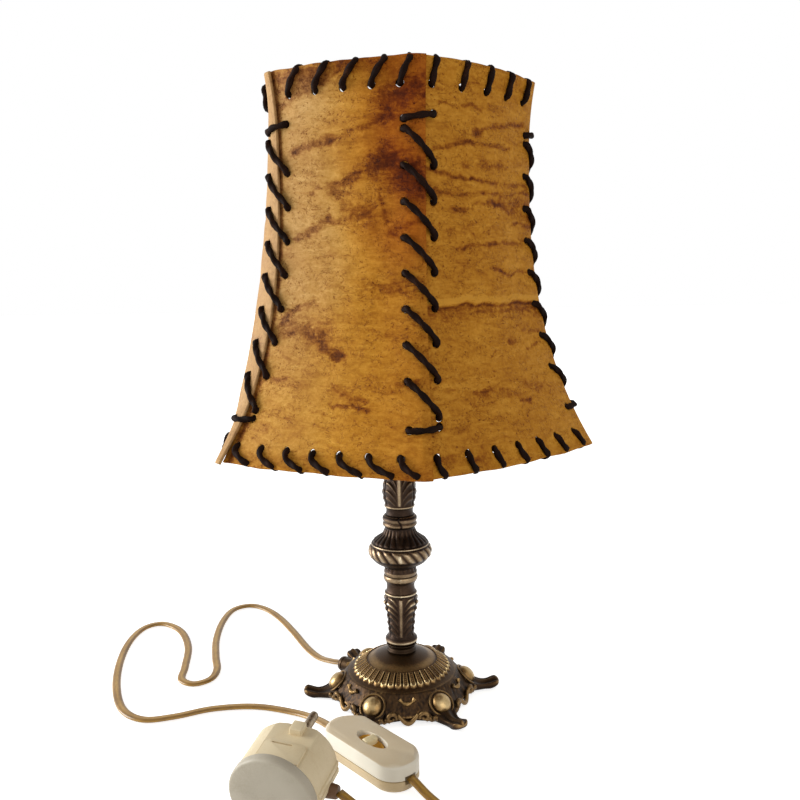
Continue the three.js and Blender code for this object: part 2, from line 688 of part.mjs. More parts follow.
function shadePanel(side) {
  const shares = Array.from({ length: PANEL_STEPS + 1 }, (_, i) => i / PANEL_STEPS);
  const rings = Array.from({ length: PANEL_ROWS + 1 }, (_, row) => {
    const z = rowZ(row);
    const start = asShare(PANEL_START, side, z);
    const skin = (off) => [
      ...shares.map((share) => hidePoint(side, Math.max(share, start), z, off)),
      hidePoint(side, 1, z, off, OVERLAP),
    ];
    return [...skin(HIDE / 2), ...skin(-HIDE / 2).reverse()];
  });
  return geometryOf(holesOf(side).reduce((panel, hole) => panel.subtract(solid(hole)), stripLoft(rings)));
}

// A loft whose rings are thin strips: outer points, then inner ones back, capped pair by pair.
function stripLoft(rings) {
  const count = rings[0].length;
  const half = count / 2;
  const positions = rings.flat().flatMap((p) => [p.x, p.y, p.z]);
  const index = [];
  for (let i = 0; i < rings.length - 1; i += 1) {
    for (let j = 0; j < count; j += 1) {
      const a = i * count + j;
      const b = i * count + ((j + 1) % count);
      index.push(a, b, b + count, a, b + count, a + count);
    }
  }
  const end = (rings.length - 1) * count;
  for (let j = 0; j < half - 1; j += 1) {
    const inner = count - 1 - j;
    index.push(j, inner, inner - 1, j, inner - 1, j + 1);
    index.push(end + j, end + inner - 1, end + inner, end + j, end + j + 1, end + inner - 1);
  }
  const geometry = new THREE.BufferGeometry();
  geometry.setAttribute("position", new THREE.Float32BufferAttribute(positions, 3));
  geometry.setIndex(index);
  return solid(geometry);
}

// Wire frame: two rings, a rib behind each seam and a fitter with an arm to each rib

const wireIn = HIDE / 2 + SEAT + WIRE_RADIUS;
const ribIn = HIDE / 2 + SEAT + RIB_RADIUS;
const topWireZ = shadeTop - WIRE_RADIUS - WIRE_INSET;
const bottomWireZ = shadeFoot + WIRE_RADIUS + WIRE_INSET;
const fitterZ = fitterFoot + FITTER_THICKNESS / 2;
const fitterBore = HOLDER_RADIUS + FITTER_SLIP;

function ringWire(z) {
  const path = [];
  for (let side = 0; side < PANELS; side += 1) {
    for (let i = 0; i < PANEL_STEPS; i += 1) {
      path.push(sidePoint(side, i / PANEL_STEPS, z, -wireIn));
    }
  }
  return tube(path, WIRE_RADIUS, WIRE_SIDES, true);
}

function rib(side) {
  const low = bottomWireZ + WIRE_RADIUS + SEAT;
  const high = topWireZ - WIRE_RADIUS - SEAT;
  const rows = Array.from({ length: PANEL_ROWS - 1 }, (_, row) => rowZ(row + 1));
  return tube([low, ...rows, high].map((z) => sidePoint(side, 1, z, -ribIn)), RIB_RADIUS, WIRE_SIDES);
}

function fitterArm(side) {
  const end = sidePoint(side, 1, fitterZ, -ribIn);
  const turn = Math.atan2(end.y, end.x);
  const far = Math.hypot(end.x, end.y) - RIB_RADIUS - 2 * SEAT;
  const near = fitterBore + FITTER_WIDTH + SEAT;
  const arm = rod(WIRE_RADIUS, far - near, near, 6).rotateY(Math.PI / 2);
  return outward(arm.rotateZ(turn).translate(0, 0, fitterZ));
}

add("top_wire", ringWire(topWireZ), steel);
add("bottom_wire", ringWire(bottomWireZ), steel);
add("fitter_ring", ringOf(fitterBore, fitterBore + FITTER_WIDTH, fitterFoot, FITTER_THICKNESS), steel);
for (let side = 0; side < PANELS; side += 1) {
  add("shade_panel_" + (side + 1), shadePanel(side), hide);
  add("shade_rib_" + (side + 1), rib(side), steel);
  add("fitter_arm_" + (side + 1), fitterArm(side), steel);
}

// Whip stitches round a rim: out of a hole, over the edge and the wire, and back to the next hole

function rimLace(edge, hole, count, slant) {
  const up = Math.sign(edge - hole);
  const over = LACE / 2 + WIRE_RADIUS;
  const behind = wireIn + WIRE_RADIUS + 2 * LACE_GAP + LACE / 2 + SEAT;
  const wireZ = edge - up * (WIRE_RADIUS + WIRE_INSET);
  const path = [];
  for (let side = 0; side < PANELS; side += 1) {
    for (let i = 0; i < count; i += 1) {
      const share = rimShare(i, count, slant, side, hole);
      const step = asShare(slant, side, edge);
      const at = (run, z, off) => hidePoint(side, share + step * run, z, off);
      const inside = (run, z, off) => sidePoint(side, share + step * run, wireZ, off).setZ(z);
      path.push(at(0, hole, -laceOut));
      path.push(at(0, hole, laceOut));
      path.push(at(0.95, edge, laceOut + LACE_EASE).setZ(edge + up * LACE / 3));
      path.push(inside(1.05, edge + up * over, -wireIn));
      path.push(inside(1.15, wireZ, -behind));
    }
  }
  const first = rimShare(0, count, slant, 0, hole) + asShare(LACE_TAIL, 0, hole);
  path.unshift(hidePoint(0, first, hole, -laceOut));
  const end = path[path.length - 1].clone();
  path.push(end.setZ(hole));
  return path;
}

// Seam stitches: slanting over the overlapping edge outside, level behind the rib inside

function seamLace(side) {
  const next = (side + 1) % PANELS;
  const deep = laceOut + 2 * LACE_EASE;
  const left = (z, off) => hidePoint(side, leftShare(side, z), z, off);
  const right = (z, off) => hidePoint(next, rightShare(next, z), z, off);
  const across = (from, to) => [
    hidePoint(side, 1, lerp(from, to, 0.5), laceOut + LACE_EASE),
    hidePoint(side, 1, lerp(from, to, 0.74), laceOut + LACE_EASE, OVERLAP),
  ];
  const tail = (z) => hidePoint(next, asShare(SEAM_HOLE_AFTER + LACE_TAIL, next, z), z, -deep);
  const path = [
    tail(seamStartZ),
    right(seamStartZ, -deep),
    right(seamStartZ, laceOut),
    ...across(seamStartZ, seamStartZ).reverse(),
    left(seamStartZ, laceOut),
    left(seamStartZ, -deep),
  ];
  for (let k = 0; k <= SEAM_STITCHES; k += 1) {
    const from = seamLevel(k);
    const to = k < SEAM_STITCHES ? seamLevel(k + 1) : seamEndZ;
    path.push(left(from, -deep), left(from, laceOut));
    path.push(...across(from, to), right(to, laceOut), right(to, -deep));
  }
  path.push(tail(seamEndZ));
  return path;
}

function addLace(name, path) {
  leastGap(name, refined(path, 4), LACE);
  add(name, tube(path, LACE / 2, LACE_SIDES), lace);
}

addLace("top_lacing", rimLace(shadeTop, topHoleZ, TOP_STITCHES, TOP_SLANT));
addLace("bottom_lacing", rimLace(shadeFoot, bottomHoleZ, BOTTOM_STITCHES, BOTTOM_SLANT));
for (let side = 0; side < PANELS; side += 1) {
  addLace("seam_lacing_" + (side + 1), seamLace(side));
}

// In-line switch, in its own frame: X along it, the cord entering at both ends

const switchGroup = new THREE.Group();
switchGroup.position.set(...SWITCH_PLACE, 0);
switchGroup.rotation.z = degrees(SWITCH_TURN);
lamp.add(switchGroup);

function stadium(length, width, z) {
  const radius = width / 2;
  const ring = [];
  for (const end of [1, -1]) {
    for (let i = 0; i <= STADIUM_STEPS; i += 1) {
      const turn = Math.PI * (i / STADIUM_STEPS - 0.5) + (end < 0 ? Math.PI : 0);
      ring.push(point(end * (length / 2 - radius) + radius * Math.cos(turn), radius * Math.sin(turn), z));
    }
  }
  return ring;
}

const lowerHeight = LOWER_OUTLINE[LOWER_OUTLINE.length - 1][1];
const upperHeight = UPPER_OUTLINE[UPPER_OUTLINE.length - 1][1];
const roofRise = UPPER_HOLLOW[UPPER_HOLLOW.length - 1][1];
const partingZ = SHELL_LIFT + lowerHeight;
const upperFoot = partingZ + SEAT;
const switchTop = upperFoot + upperHeight;
const cordEntryZ = partingZ + SEAT / 2;
const inset = (amount, z) => stadium(SWITCH_LENGTH - 2 * amount, SWITCH_WIDTH - 2 * amount, z);
const slotSize = [SWITCH_LENGTH + CUT, CORD_WIDTH + 2 * SLIP, CORD_THICKNESS + 2 * SLIP];
const cordSlot = box(...slotSize, [0, 0, cordEntryZ]);
const acrossSwitch = (radius, length) =>
  rod(radius, length, -length / 2, 8).rotateX(Math.PI / 2).translate(0, 0, ROCKER_RISE);
const windowLength = ROCKER_LENGTH + 2 * ROCKER_GAP + 2;
const windowWidth = ROCKER_WIDTH + 2 * ROCKER_GAP;
const screwTop = upperFoot + SCREW_INTO_POST;
const screwPlaces = [-SCREW_OFFSET, SCREW_OFFSET];
const shellLoft = (outline, foot) =>
  solid(loft(outline.map(([amount, rise]) => inset(amount, foot + rise))));

function lowerShell() {
  const floor = SHELL_LIFT + SWITCH_FLOOR;
  const hollow = loft([inset(SWITCH_WALL, floor), inset(SWITCH_WALL, partingZ + CUT)]);
  let shell = shellLoft(LOWER_OUTLINE, SHELL_LIFT).subtract(solid(hollow)).subtract(solid(cordSlot));
  for (const x of screwPlaces) {
    const hole = rod(SCREW_RADIUS + SLIP, lowerHeight, 0, 8);
    const sink = rod(SCREW_HEAD + SLIP, SCREW_HEAD_HEIGHT + 2 * SEAT, SHELL_LIFT - SEAT, 10);
    shell = shell.subtract(solid(hole.translate(x, 0, 0))).subtract(solid(sink.translate(x, 0, 0)));
  }
  return geometryOf(shell);
}

function upperShell() {
  const roof = upperFoot + roofRise;
  const lugFoot = ROCKER_RISE - LUG_WIDTH / 2;
  const lugHeight = roof + LUG_SINK - lugFoot;
  let shell = shellLoft(UPPER_OUTLINE, upperFoot).subtract(shellLoft(UPPER_HOLLOW, upperFoot));
  for (const side of [-1, 1]) {
    const lugPlace = [0, side * (windowWidth + LUG_THICKNESS) / 2, lugFoot + lugHeight / 2];
    const post = rod(POST_RADIUS, roof + LUG_SINK - upperFoot, upperFoot, 10);
    shell = shell
      .add(solid(box(LUG_WIDTH, LUG_THICKNESS, lugHeight, lugPlace)))
      .add(solid(post.translate(side * SCREW_OFFSET, 0, 0)));
  }
  const window = [roof - CUT, switchTop + CUT].map((z) => stadium(windowLength, windowWidth, z));
  shell = shell
    .subtract(solid(loft(window)))
    .subtract(solid(acrossSwitch(PIN_RADIUS + SLIP, windowWidth + 4 * LUG_THICKNESS)))
    .subtract(solid(cordSlot));
  for (const x of screwPlaces) {
    shell = shell.subtract(solid(rod(SCREW_RADIUS + SLIP, screwTop + SEAT, 0, 8).translate(x, 0, 0)));
  }
  return geometryOf(shell);
}

function rocker() {
  const half = ROCKER_LENGTH / 2;
  const ridge = ROCKER_RIDGE_WIDTH / 2;
  const foot = ridge + ROCKER_END;
  const outline = [
    [-half, -ROCKER_DEPTH / 2], [0, -ROCKER_DEPTH], [half, -ROCKER_DEPTH / 2], [half, ROCKER_END],
    [foot, ROCKER_SHOULDER], [ridge, ROCKER_RIDGE], [-ridge, ROCKER_RIDGE], [-foot, ROCKER_SHOULDER],
    [-half, ROCKER_END],
  ];
  const shape = new THREE.Shape(outline.map(([x, z]) => new THREE.Vector2(x, z)));
  const block = new THREE.ExtrudeGeometry(shape, { depth: ROCKER_WIDTH, bevelEnabled: false });
  block.translate(0, 0, -ROCKER_WIDTH / 2).rotateX(Math.PI / 2).rotateY(degrees(ROCKER_TILT));
  const bore = acrossSwitch(PIN_RADIUS + SLIP, ROCKER_WIDTH + CUT);
  return geometryOf(solid(block.translate(0, 0, ROCKER_RISE)).subtract(solid(bore)));
}

function switchScrew(x) {
  const neck = SHELL_LIFT + SCREW_HEAD_HEIGHT;
  const profile = [[0, SHELL_LIFT], [SCREW_HEAD, SHELL_LIFT], [SCREW_HEAD, neck], [SCREW_RADIUS, neck],
    [SCREW_RADIUS, screwTop], [0, screwTop]];
  return turned(profile, 10).translate(x, 0, 0);
}

const pinLength = windowWidth + 2 * LUG_THICKNESS;
add("switch_lower_shell", lowerShell(), ivory, switchGroup);
add("switch_upper_shell", upperShell(), ivory, switchGroup);
add("switch_rocker", rocker(), amber, switchGroup);
add("rocker_pin", outward(acrossSwitch(PIN_RADIUS, pinLength)), steel, switchGroup);
add("switch_screw_1", switchScrew(-SCREW_OFFSET), steel, switchGroup);
add("switch_screw_2", switchScrew(SCREW_OFFSET), steel, switchGroup);

// Plug on the edge of its cover, in its own frame: X towards the pins

const plugGroup = new THREE.Group();
plugGroup.position.set(...PLUG_PLACE, PLUG_RADIUS * Math.cos(degrees(PLUG_TILT)) + SEAT);
plugGroup.rotation.set(degrees(PLUG_ROLL), -degrees(PLUG_TILT), degrees(PLUG_TURN), "ZYX");
lamp.add(plugGroup);

const alongX = (geometry) => geometry.rotateY(Math.PI / 2);
const drumFoot = PLUG_COVER + SEAT;
const drumEnd = drumFoot + PLUG_DRUM;
const glandEnd = PLUG_DRUM_RADIUS + GLAND_LENGTH;

function plugCover() {
  const profile = [[0, 0], [PLUG_RADIUS * 0.86, 0.6], [PLUG_RADIUS, 2.2], [PLUG_RADIUS, PLUG_COVER - 1.2],
    [PLUG_DRUM_RADIUS, PLUG_COVER], [0, PLUG_COVER]];
  return alongX(turned(profile, PLUG_SIDES));
}

function plugDrum() {
  const profile = [[0, drumFoot], [PLUG_DRUM_RADIUS, drumFoot], [PLUG_DRUM_RADIUS, drumEnd - PLUG_CHAMFER],
    [PLUG_DRUM_RADIUS - PLUG_CHAMFER, drumEnd], [0, drumEnd]];
  const slab = box(2 * drumEnd, 3 * PLUG_DRUM_RADIUS, 2 * PLUG_FLAT, [drumEnd, 0, 0]);
  const gland = rod(GLAND_RADIUS, glandEnd - PLUG_DRUM_RADIUS / 2, PLUG_DRUM_RADIUS / 2, 12);
  const glandBore = rod(BUSH_BORE, GLAND_LENGTH + CUT, PLUG_DRUM_RADIUS, 10);
  const toSide = (geometry) => geometry.rotateX(Math.PI / 2).translate(GLAND_ALONG, 0, -GLAND_DROP);
  const guide = box(...GUIDE, [drumEnd - GUIDE[0] / 2 - SEAT, 0, PLUG_FLAT + GUIDE[2] / 2 - 1]);
  let drum = solid(alongX(turned(profile, PLUG_SIDES)))
    .intersect(solid(slab))
    .add(solid(guide))
    .add(solid(toSide(gland)))
    .subtract(solid(toSide(glandBore)));
  const pinFoot = drumEnd - PLUG_PIN_SET - SEAT;
  for (const side of [-1, 1]) {
    const hole = alongX(rod(PLUG_PIN_RADIUS + SLIP, PLUG_PIN_SET + CUT, pinFoot, PLUG_PIN_STEPS));
    drum = drum.subtract(solid(hole.translate(0, 0, (side * PLUG_PIN_SPACING) / 2)));
  }
  return geometryOf(drum);
}

function plugPin(side) {
  const tip = drumEnd + PLUG_PIN_LENGTH;
  const pin = turned([[0, drumEnd - PLUG_PIN_SET], [PLUG_PIN_RADIUS, drumEnd - PLUG_PIN_SET],
    [PLUG_PIN_RADIUS, tip - PLUG_PIN_RADIUS], [PLUG_PIN_RADIUS * 0.5, tip], [0, tip]], PLUG_PIN_STEPS);
  return alongX(pin).translate(0, 0, (side * PLUG_PIN_SPACING) / 2);
}

add("plug_cover", plugCover(), ivory, plugGroup);
add("plug_body", plugDrum(), ivory, plugGroup);
add("plug_pin_1", plugPin(1), steel, plugGroup);
add("plug_pin_2", plugPin(-1), steel, plugGroup);

// Cord: a stretch to the switch, a stretch to the coil, the coil, and a stretch to the plug

lamp.updateMatrixWorld(true);
const alongBush = (radius) => point(radius, 0, bushHeight).applyAxisAngle(point(0, 0, 1), degrees(BUSH_TURN));
const switchIn = switchGroup.localToWorld(point(-SWITCH_LENGTH / 2 - SEAT, 0, cordEntryZ));
const switchOut = switchGroup.localToWorld(point(SWITCH_LENGTH / 2 + SEAT, 0, cordEntryZ));
const glandMouth = plugGroup.localToWorld(point(GLAND_ALONG, -glandEnd - SEAT, -GLAND_DROP));
const onTable = (places) => places.map(([x, y, rise = 0]) => point(x, y, CORD_HEIGHT + rise));

const toSwitch = [
  alongBush(bushEnd - BUSH_LENGTH),
  alongBush(bushEnd),
  ...onTable([[-49, 36, 3.2], [-58, 47, 0.8], [-68, 64], [-82, 94], [-96, 121], [-110, 140], [-124, 148],
    [-136, 140], [-140, 116], [-138, 82], [-132, 52], [-127, 32], [-128.5, 18], [-138, 11.5], [-147.5, 18],
    [-150, 36], [-156, 70], [-169, 99], [-186, 113], [-198, 106], [-202, 82], [-198, 46], [-188, 8],
    [-174, -22], [-158, -34], [-140, -31], [-118, -22], [-92, -20], [-66, -30, 1], [-50, -45, 4]]),
  switchIn,
];

const coilTurns = COIL_WHOLE_TURNS + (COIL_START - COIL_END + 360) / 360;
const coilCount = Math.ceil(coilTurns * COIL_STEPS);
const coilPath = Array.from({ length: coilCount + 1 }, (_, i) => {
  const turns = (coilTurns * i) / coilCount;
  const fromMiddle = Math.abs(turns - coilTurns / 2);
  const radius = COIL_RADIUS - COIL_PITCH * (coilTurns / 2 - fromMiddle);
  const climb = smooth((turns - coilTurns / 2) / COIL_CLIMB + 0.5);
  const turn = degrees(COIL_START - 360 * turns);
  return point(
    COIL_PLACE[0] + radius * Math.cos(turn),
    COIL_PLACE[1] + radius * Math.sin(turn),
    COIL_LIFT + CORD_THICKNESS / 2 + COIL_LAYER * climb,
  );
});
const coilStart = coilPath[0];
const coilEnd = coilPath[coilPath.length - 1];
const beforeCoil = coilStart.clone().sub(coilPath[1]).setLength(SEAT);
const afterCoil = coilEnd.clone().sub(coilPath[coilPath.length - 2]).setLength(SEAT);
const ahead = (place, direction, distance) => place.clone().add(direction.clone().setLength(distance));
const toCoil = [
  switchOut,
  ...onTable([[14, -121.5, 2.5], [25.5, -132], [36, -140, 0.4]]),
  ahead(coilStart, beforeCoil, CORD_WIDTH),
  coilStart.clone().add(beforeCoil),
];
const toPlug = [
  coilEnd.clone().add(afterCoil),
  ahead(coilEnd, afterCoil, CORD_WIDTH),
  ...onTable([[4.2, -176, 2.7], [0, -164.5, 2], [-8.5, -153.5, 5], [-18, -146.5, 11]]),
  glandMouth,
];

// The flat twin section: its width lies level, its thickness upright.
function cordSection() {
  const w = CORD_WIDTH / 2;
  const t = CORD_THICKNESS / 2;
  return [[w, t * 0.45], [w * 0.7, t], [-w * 0.7, t], [-w, t * 0.45], [-w, -t * 0.45], [-w * 0.7, -t],
    [w * 0.7, -t], [w, -t * 0.45]];
}

function flatTube(path, section) {
  const rings = path.map((p, i) => {
    const ahead = path[Math.min(i + 1, path.length - 1)].clone().sub(path[Math.max(i - 1, 0)]).normalize();
    const across = ahead.clone().cross(point(0, 0, 1)).normalize();
    const up = across.clone().cross(ahead);
    return section.map(([x, z]) => p.clone().addScaledVector(across, x).addScaledVector(up, z));
  });
  return loft(rings);
}

// A stretch of cord along a route, with a ring close to each end so that the ends are cut square.
function cordStretch(route) {
  const curve = new THREE.CatmullRomCurve3(route, false, "centripetal");
  const end = CORD_WIDTH / 2 / curve.getLength();
  const path = curve.getSpacedPoints(Math.ceil(curve.getLength() / CORD_STEP));
  path.splice(1, 0, curve.getPointAt(end));
  path.splice(-1, 0, curve.getPointAt(1 - end));
  return flatTube(path, cordSection());
}

leastGap("cord_coil", coilPath, CORD_WIDTH, CORD_THICKNESS);
const coilSection = cordSection().filter((_, i) => i !== 1 && i !== 5);
add("cord_to_switch", cordStretch(toSwitch), cordPlastic);
add("cord_to_coil", cordStretch(toCoil), cordPlastic);
add("cord_coil", flatTube(coilPath, coilSection), cordPlastic);
add("cord_to_plug", cordStretch(toPlug), cordPlastic);

// Tie round the coil's bundle at one place

function coilTie() {
  const inner = COIL_RADIUS - (COIL_PITCH * coilTurns) / 2 - CORD_WIDTH / 2 - SLIP;
  const outer = COIL_RADIUS + CORD_WIDTH / 2 + SLIP;
  const low = COIL_LIFT - SLIP;
  const high = COIL_LIFT + CORD_THICKNESS + COIL_LAYER + SLIP;
  const middle = [(inner + outer) / 2, 0, (low + high) / 2];
  const hole = box(outer - inner, TIE_WIDTH + CUT, high - low, middle);
  const band = box(outer - inner + 2 * TIE_THICKNESS, TIE_WIDTH, high - low + 2 * TIE_THICKNESS, middle);
  const tie = geometryOf(solid(band).subtract(solid(hole)));
  return tie.rotateZ(degrees(TIE_TURN)).translate(...COIL_PLACE, 0);
}

add("coil_tie", coilTie(), darkBronze);

// Lead inside the lamp, from the bush up the rod to the lampholder

function innerLead() {
  const from = bushEnd - BUSH_LENGTH - SEAT;
  const turn = degrees(BUSH_TURN);
  const out = (reach, z) => point(reach * Math.cos(turn), reach * Math.sin(turn), z);
  const radius = ROD_BORE - 3 * SLIP;
  const route = [out(from, bushHeight), out(from * 0.65, bushHeight), out(from * 0.3, bushHeight),
    out(2 * radius, bushHeight + 1), out(radius / 2, rodFoot - 1.4 * radius), point(0, 0, rodFoot),
    point(0, 0, rodTop - ROD_IN_HOLDER)];
  return tube(route, radius, 6);
}

add("inner_lead", innerLead(), cordPlastic);

for (const piece of lamp.children) {
  piece.position.add(point(...COLUMN_PLACE, 0));
}

export default lamp;
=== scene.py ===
"""Looks of a table lamp with a laced rawhide shade, a carved bronze column and a flat cord."""
import math

import bpy
from mathutils import Matrix, Quaternion, Vector, noise


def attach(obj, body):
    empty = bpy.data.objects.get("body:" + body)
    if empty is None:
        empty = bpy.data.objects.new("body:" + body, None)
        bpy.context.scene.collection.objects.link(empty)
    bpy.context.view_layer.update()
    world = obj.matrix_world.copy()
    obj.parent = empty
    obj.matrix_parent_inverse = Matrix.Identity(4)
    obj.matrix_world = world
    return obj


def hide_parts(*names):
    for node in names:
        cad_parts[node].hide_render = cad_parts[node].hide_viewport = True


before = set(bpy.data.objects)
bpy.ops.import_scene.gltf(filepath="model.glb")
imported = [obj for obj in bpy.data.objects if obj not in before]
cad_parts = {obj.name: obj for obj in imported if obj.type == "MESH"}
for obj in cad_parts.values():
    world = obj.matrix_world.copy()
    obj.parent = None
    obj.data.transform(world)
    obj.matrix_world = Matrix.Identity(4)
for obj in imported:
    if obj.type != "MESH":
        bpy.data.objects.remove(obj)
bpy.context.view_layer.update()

MM = 0.001
AXIS = Vector((-6.64, 5.3, 0.0))  # the column's axis in millimetres, as the CAD has it
UP = Vector((0.0, 0.0, 1.0))
TAU = math.tau


# Small helpers

def mix(a, b, share):
    return a + (b - a) * share


def ease(low, high, value):
    """0 below low, 1 above high and a smooth rise between."""
    share = min(max((value - low) / (high - low), 0.0), 1.0)
    return share * share * (3.0 - 2.0 * share)


def bell(value, middle, width):
    return math.exp(-(((value - middle) / width) ** 2))


def rough(x, y, z, scale):
    """Soft noise from -1 to 1 over millimetres, the same on every run."""
    return noise.noise(Vector((x, y, z)) / scale)


def object_mode():
    if bpy.context.mode != "OBJECT":
        bpy.ops.object.mode_set(mode="OBJECT")


def begin():
    object_mode()
    bpy.ops.object.select_all(action="DESELECT")


def chosen(*objects):
    """Only these objects selected, and the first of them active."""
    begin()
    for obj in objects:
        obj.select_set(True)
    bpy.context.view_layer.objects.active = objects[0]


def edit(action="SELECT"):
    bpy.ops.object.mode_set(mode="EDIT")
    bpy.ops.mesh.select_mode(type="VERT")
    bpy.ops.mesh.select_all(action=action)


def settled(name, angle=None):
    """The active object back in object mode, its place in its mesh and its faces smooth."""
    object_mode()
    obj = bpy.context.object
    bpy.ops.object.transform_apply(location=True, rotation=True, scale=True)
    obj.name = name
    obj.data.name = name
    if angle is None:
        bpy.ops.object.shade_smooth()
    else:
        bpy.ops.object.shade_smooth_by_angle(angle=math.radians(angle))
    return obj


def applied(obj, kind, **settings):
    """Adds a modifier with its settings and applies it."""
    chosen(obj)
    modifier = obj.modifiers.new(kind.lower(), kind)
    for key, value in settings.items():
        setattr(modifier, key, value)
    bpy.ops.object.modifier_apply(modifier=modifier.name)
    return obj


def bevelled(obj, width, angle):
    """Rounds the edges that are sharper than an angle."""
    return applied(obj, "BEVEL", width=width, segments=2, limit_method="ANGLE",
                   angle_limit=math.radians(angle))


def joined(name, objects, angle=None):
    chosen(*objects)
    if len(objects) > 1:
        bpy.ops.object.join()
    return settled(name, angle)


def moved(obj, matrix):
    obj.data.transform(matrix)
    obj.data.update()
    return obj


def in_place(*place, turn=0.0):
    """From a piece's own frame in millimetres, turned about Z, to the row's frame in metres."""
    spot = Vector((place[0] + AXIS.x, place[1] + AXIS.y, place[2])) * MM
    return Matrix.Translation(spot) @ Matrix.Rotation(math.radians(turn), 4, "Z") @ Matrix.Scale(MM, 4)


LAMP_FRAME = in_place(0.0, 0.0, 0.0)
ALONG_X = Matrix.Rotation(math.pi / 2, 4, "Y")


def worn(obj, value):
    """Sets how bright a casting is rubbed, by a number or by a function, which may also carve the point."""
    attribute = obj.data.attributes.get("wear") or obj.data.attributes.new("wear", "FLOAT", "POINT")
    for vertex, item in zip(obj.data.vertices, attribute.data):
        item.value = value(vertex.co) if callable(value) else value
    return obj


def turned(name, profile, steps=64, angle=35.0):
    """Points of radius and height, drawn one by one and spun about Z, in millimetres."""
    begin()
    bpy.ops.mesh.primitive_plane_add(size=1.0, location=(profile[0][0], 0.0, profile[0][1]))
    edit()
    bpy.ops.mesh.merge(type="CENTER")
    for (r0, z0), (r1, z1) in zip(profile, profile[1:]):
        bpy.ops.mesh.extrude_region_move(TRANSFORM_OT_translate={"value": (r1 - r0, 0.0, z1 - z0)})
    bpy.ops.mesh.select_all(action="SELECT")
    bpy.ops.mesh.spin(steps=steps, angle=TAU, center=(0.0, 0.0, 0.0), axis=(0.0, 0.0, 1.0))
    bpy.ops.mesh.select_all(action="SELECT")
    bpy.ops.mesh.remove_doubles(threshold=0.002)
    bpy.ops.mesh.normals_make_consistent(inside=False)
    return settled(name, angle)


def drawn(points, count):
    """A smooth line of a given number of points through a few drawn ones."""
    if len(points) < 3:
        return [points[0].lerp(points[-1], i / (count - 1)) for i in range(count)]
    knots = [0.0]
    for a, b in zip(points, points[1:]):
        knots.append(knots[-1] + max((b - a).length, 1e-6) ** 0.5)
    line = []
    for i in range(count):
        place = knots[-1] * i / (count - 1)
        k = 0
        while k < len(points) - 2 and place > knots[k + 1]:
            k += 1
        span = knots[k + 1] - knots[k]
        t = (place - knots[k]) / span
        p1, p2 = points[k], points[k + 1]
        m1 = (p2 - p1) / span if k == 0 else (p2 - points[k - 1]) / (knots[k + 1] - knots[k - 1])
        last = k + 2 >= len(points)
        m2 = (p2 - p1) / span if last else (points[k + 2] - p1) / (knots[k + 2] - knots[k])
        a = p1 * (2 * t**3 - 3 * t**2 + 1) + m1 * span * (t**3 - 2 * t**2 + t)
        line.append(a + p2 * (-2 * t**3 + 3 * t**2) + m2 * span * (t**3 - t**2))
    return line


def spaced(points, step):
    """The same line with its points about one step apart."""
    fine = drawn(points, 14 * len(points))
    run = [0.0]
    for a, b in zip(fine, fine[1:]):
        run.append(run[-1] + (b - a).length)
    count = max(int(run[-1] / step), 3)
    line = []
    k = 0
    for i in range(count + 1):
        place = run[-1] * i / count
        while k < len(fine) - 2 and place > run[k + 1]:
            k += 1
        share = (place - run[k]) / max(run[k + 1] - run[k], 1e-9)
        line.append(fine[k].lerp(fine[k + 1], share))
    return line


def gridded(name, columns, rows, place, close=True, angle=None):
    """A grid laid out by place(u, v), u across and v along, and closed where its edges meet."""
    begin()
    bpy.ops.mesh.primitive_grid_add(x_subdivisions=columns, y_subdivisions=rows, size=1.0)
    for vertex in bpy.context.object.data.vertices:
        vertex.co = place(vertex.co.x + 0.5, vertex.co.y + 0.5)
    if close:
        edit()
        bpy.ops.mesh.remove_doubles(threshold=0.003)
        bpy.ops.mesh.fill_holes(sides=0)
        bpy.ops.mesh.normals_make_consistent(inside=False)
    return settled(name, angle)


def swept(name, path, section, size=None, twist=0.0, level=False, closed=False):
    """A section drawn along a path. It turns by twist for each millimetre, or lies level."""
    count = len(path)
    tangents = []
    for i in range(count):
        before = path[i - 1] if i or closed else path[0]
        after = path[(i + 1) % count] if i < count - 1 or closed else path[i]
        tangents.append((after - before).normalized())
    normal = UP.cross(tangents[0])
    if normal.length < 0.2:
        normal = Vector((1.0, 0.0, 0.0))
    rings = []
    turn = 0.0
    for i, point in enumerate(path):
        tangent = tangents[i]
        if level:
            normal = UP.cross(tangent)
        elif i:
            normal = tangents[i - 1].rotation_difference(tangent) @ normal
            turn += twist * (point - path[i - 1]).length
        normal = (normal - tangent * normal.dot(tangent)).normalized()
        side = tangent.cross(normal)
        scale = size[i] if size else 1.0
        c, s = math.cos(turn), math.sin(turn)
        across = [(x * c - y * s, x * s + y * c) for x, y in section]
        rings.append([point + (normal * a + side * b) * scale for a, b in across])
    if closed:
        rings.append(rings[0])
    around = len(section)
    rows = len(rings) - 1
    return gridded(name, around, rows, lambda u, v: rings[round(v * rows)][round(u * around) % around])


def round_section(radius, sides=10):
    return [(radius * math.cos(TAU * i / sides), radius * math.sin(TAU * i / sides)) for i in range(sides)]


def dressed(obj, body, slot, material, *nodes):
    """Gives a piece its finish, its body and the CAD nodes that it stands for."""
    obj.data.materials.clear()
    obj.data.materials.append(material)
    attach(obj, body)
    if nodes:
        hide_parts(*nodes)
    return obj


# Finishes

def tint(code):
    """A colour written as six hexadecimal digits, as linear light."""
    channels = [int(code[i:i + 2], 16) / 255 for i in (1, 3, 5)]
    return tuple(c / 12.92 if c <= 0.04045 else ((c + 0.055) / 1.055) ** 2.4 for c in channels) + (1.0,)


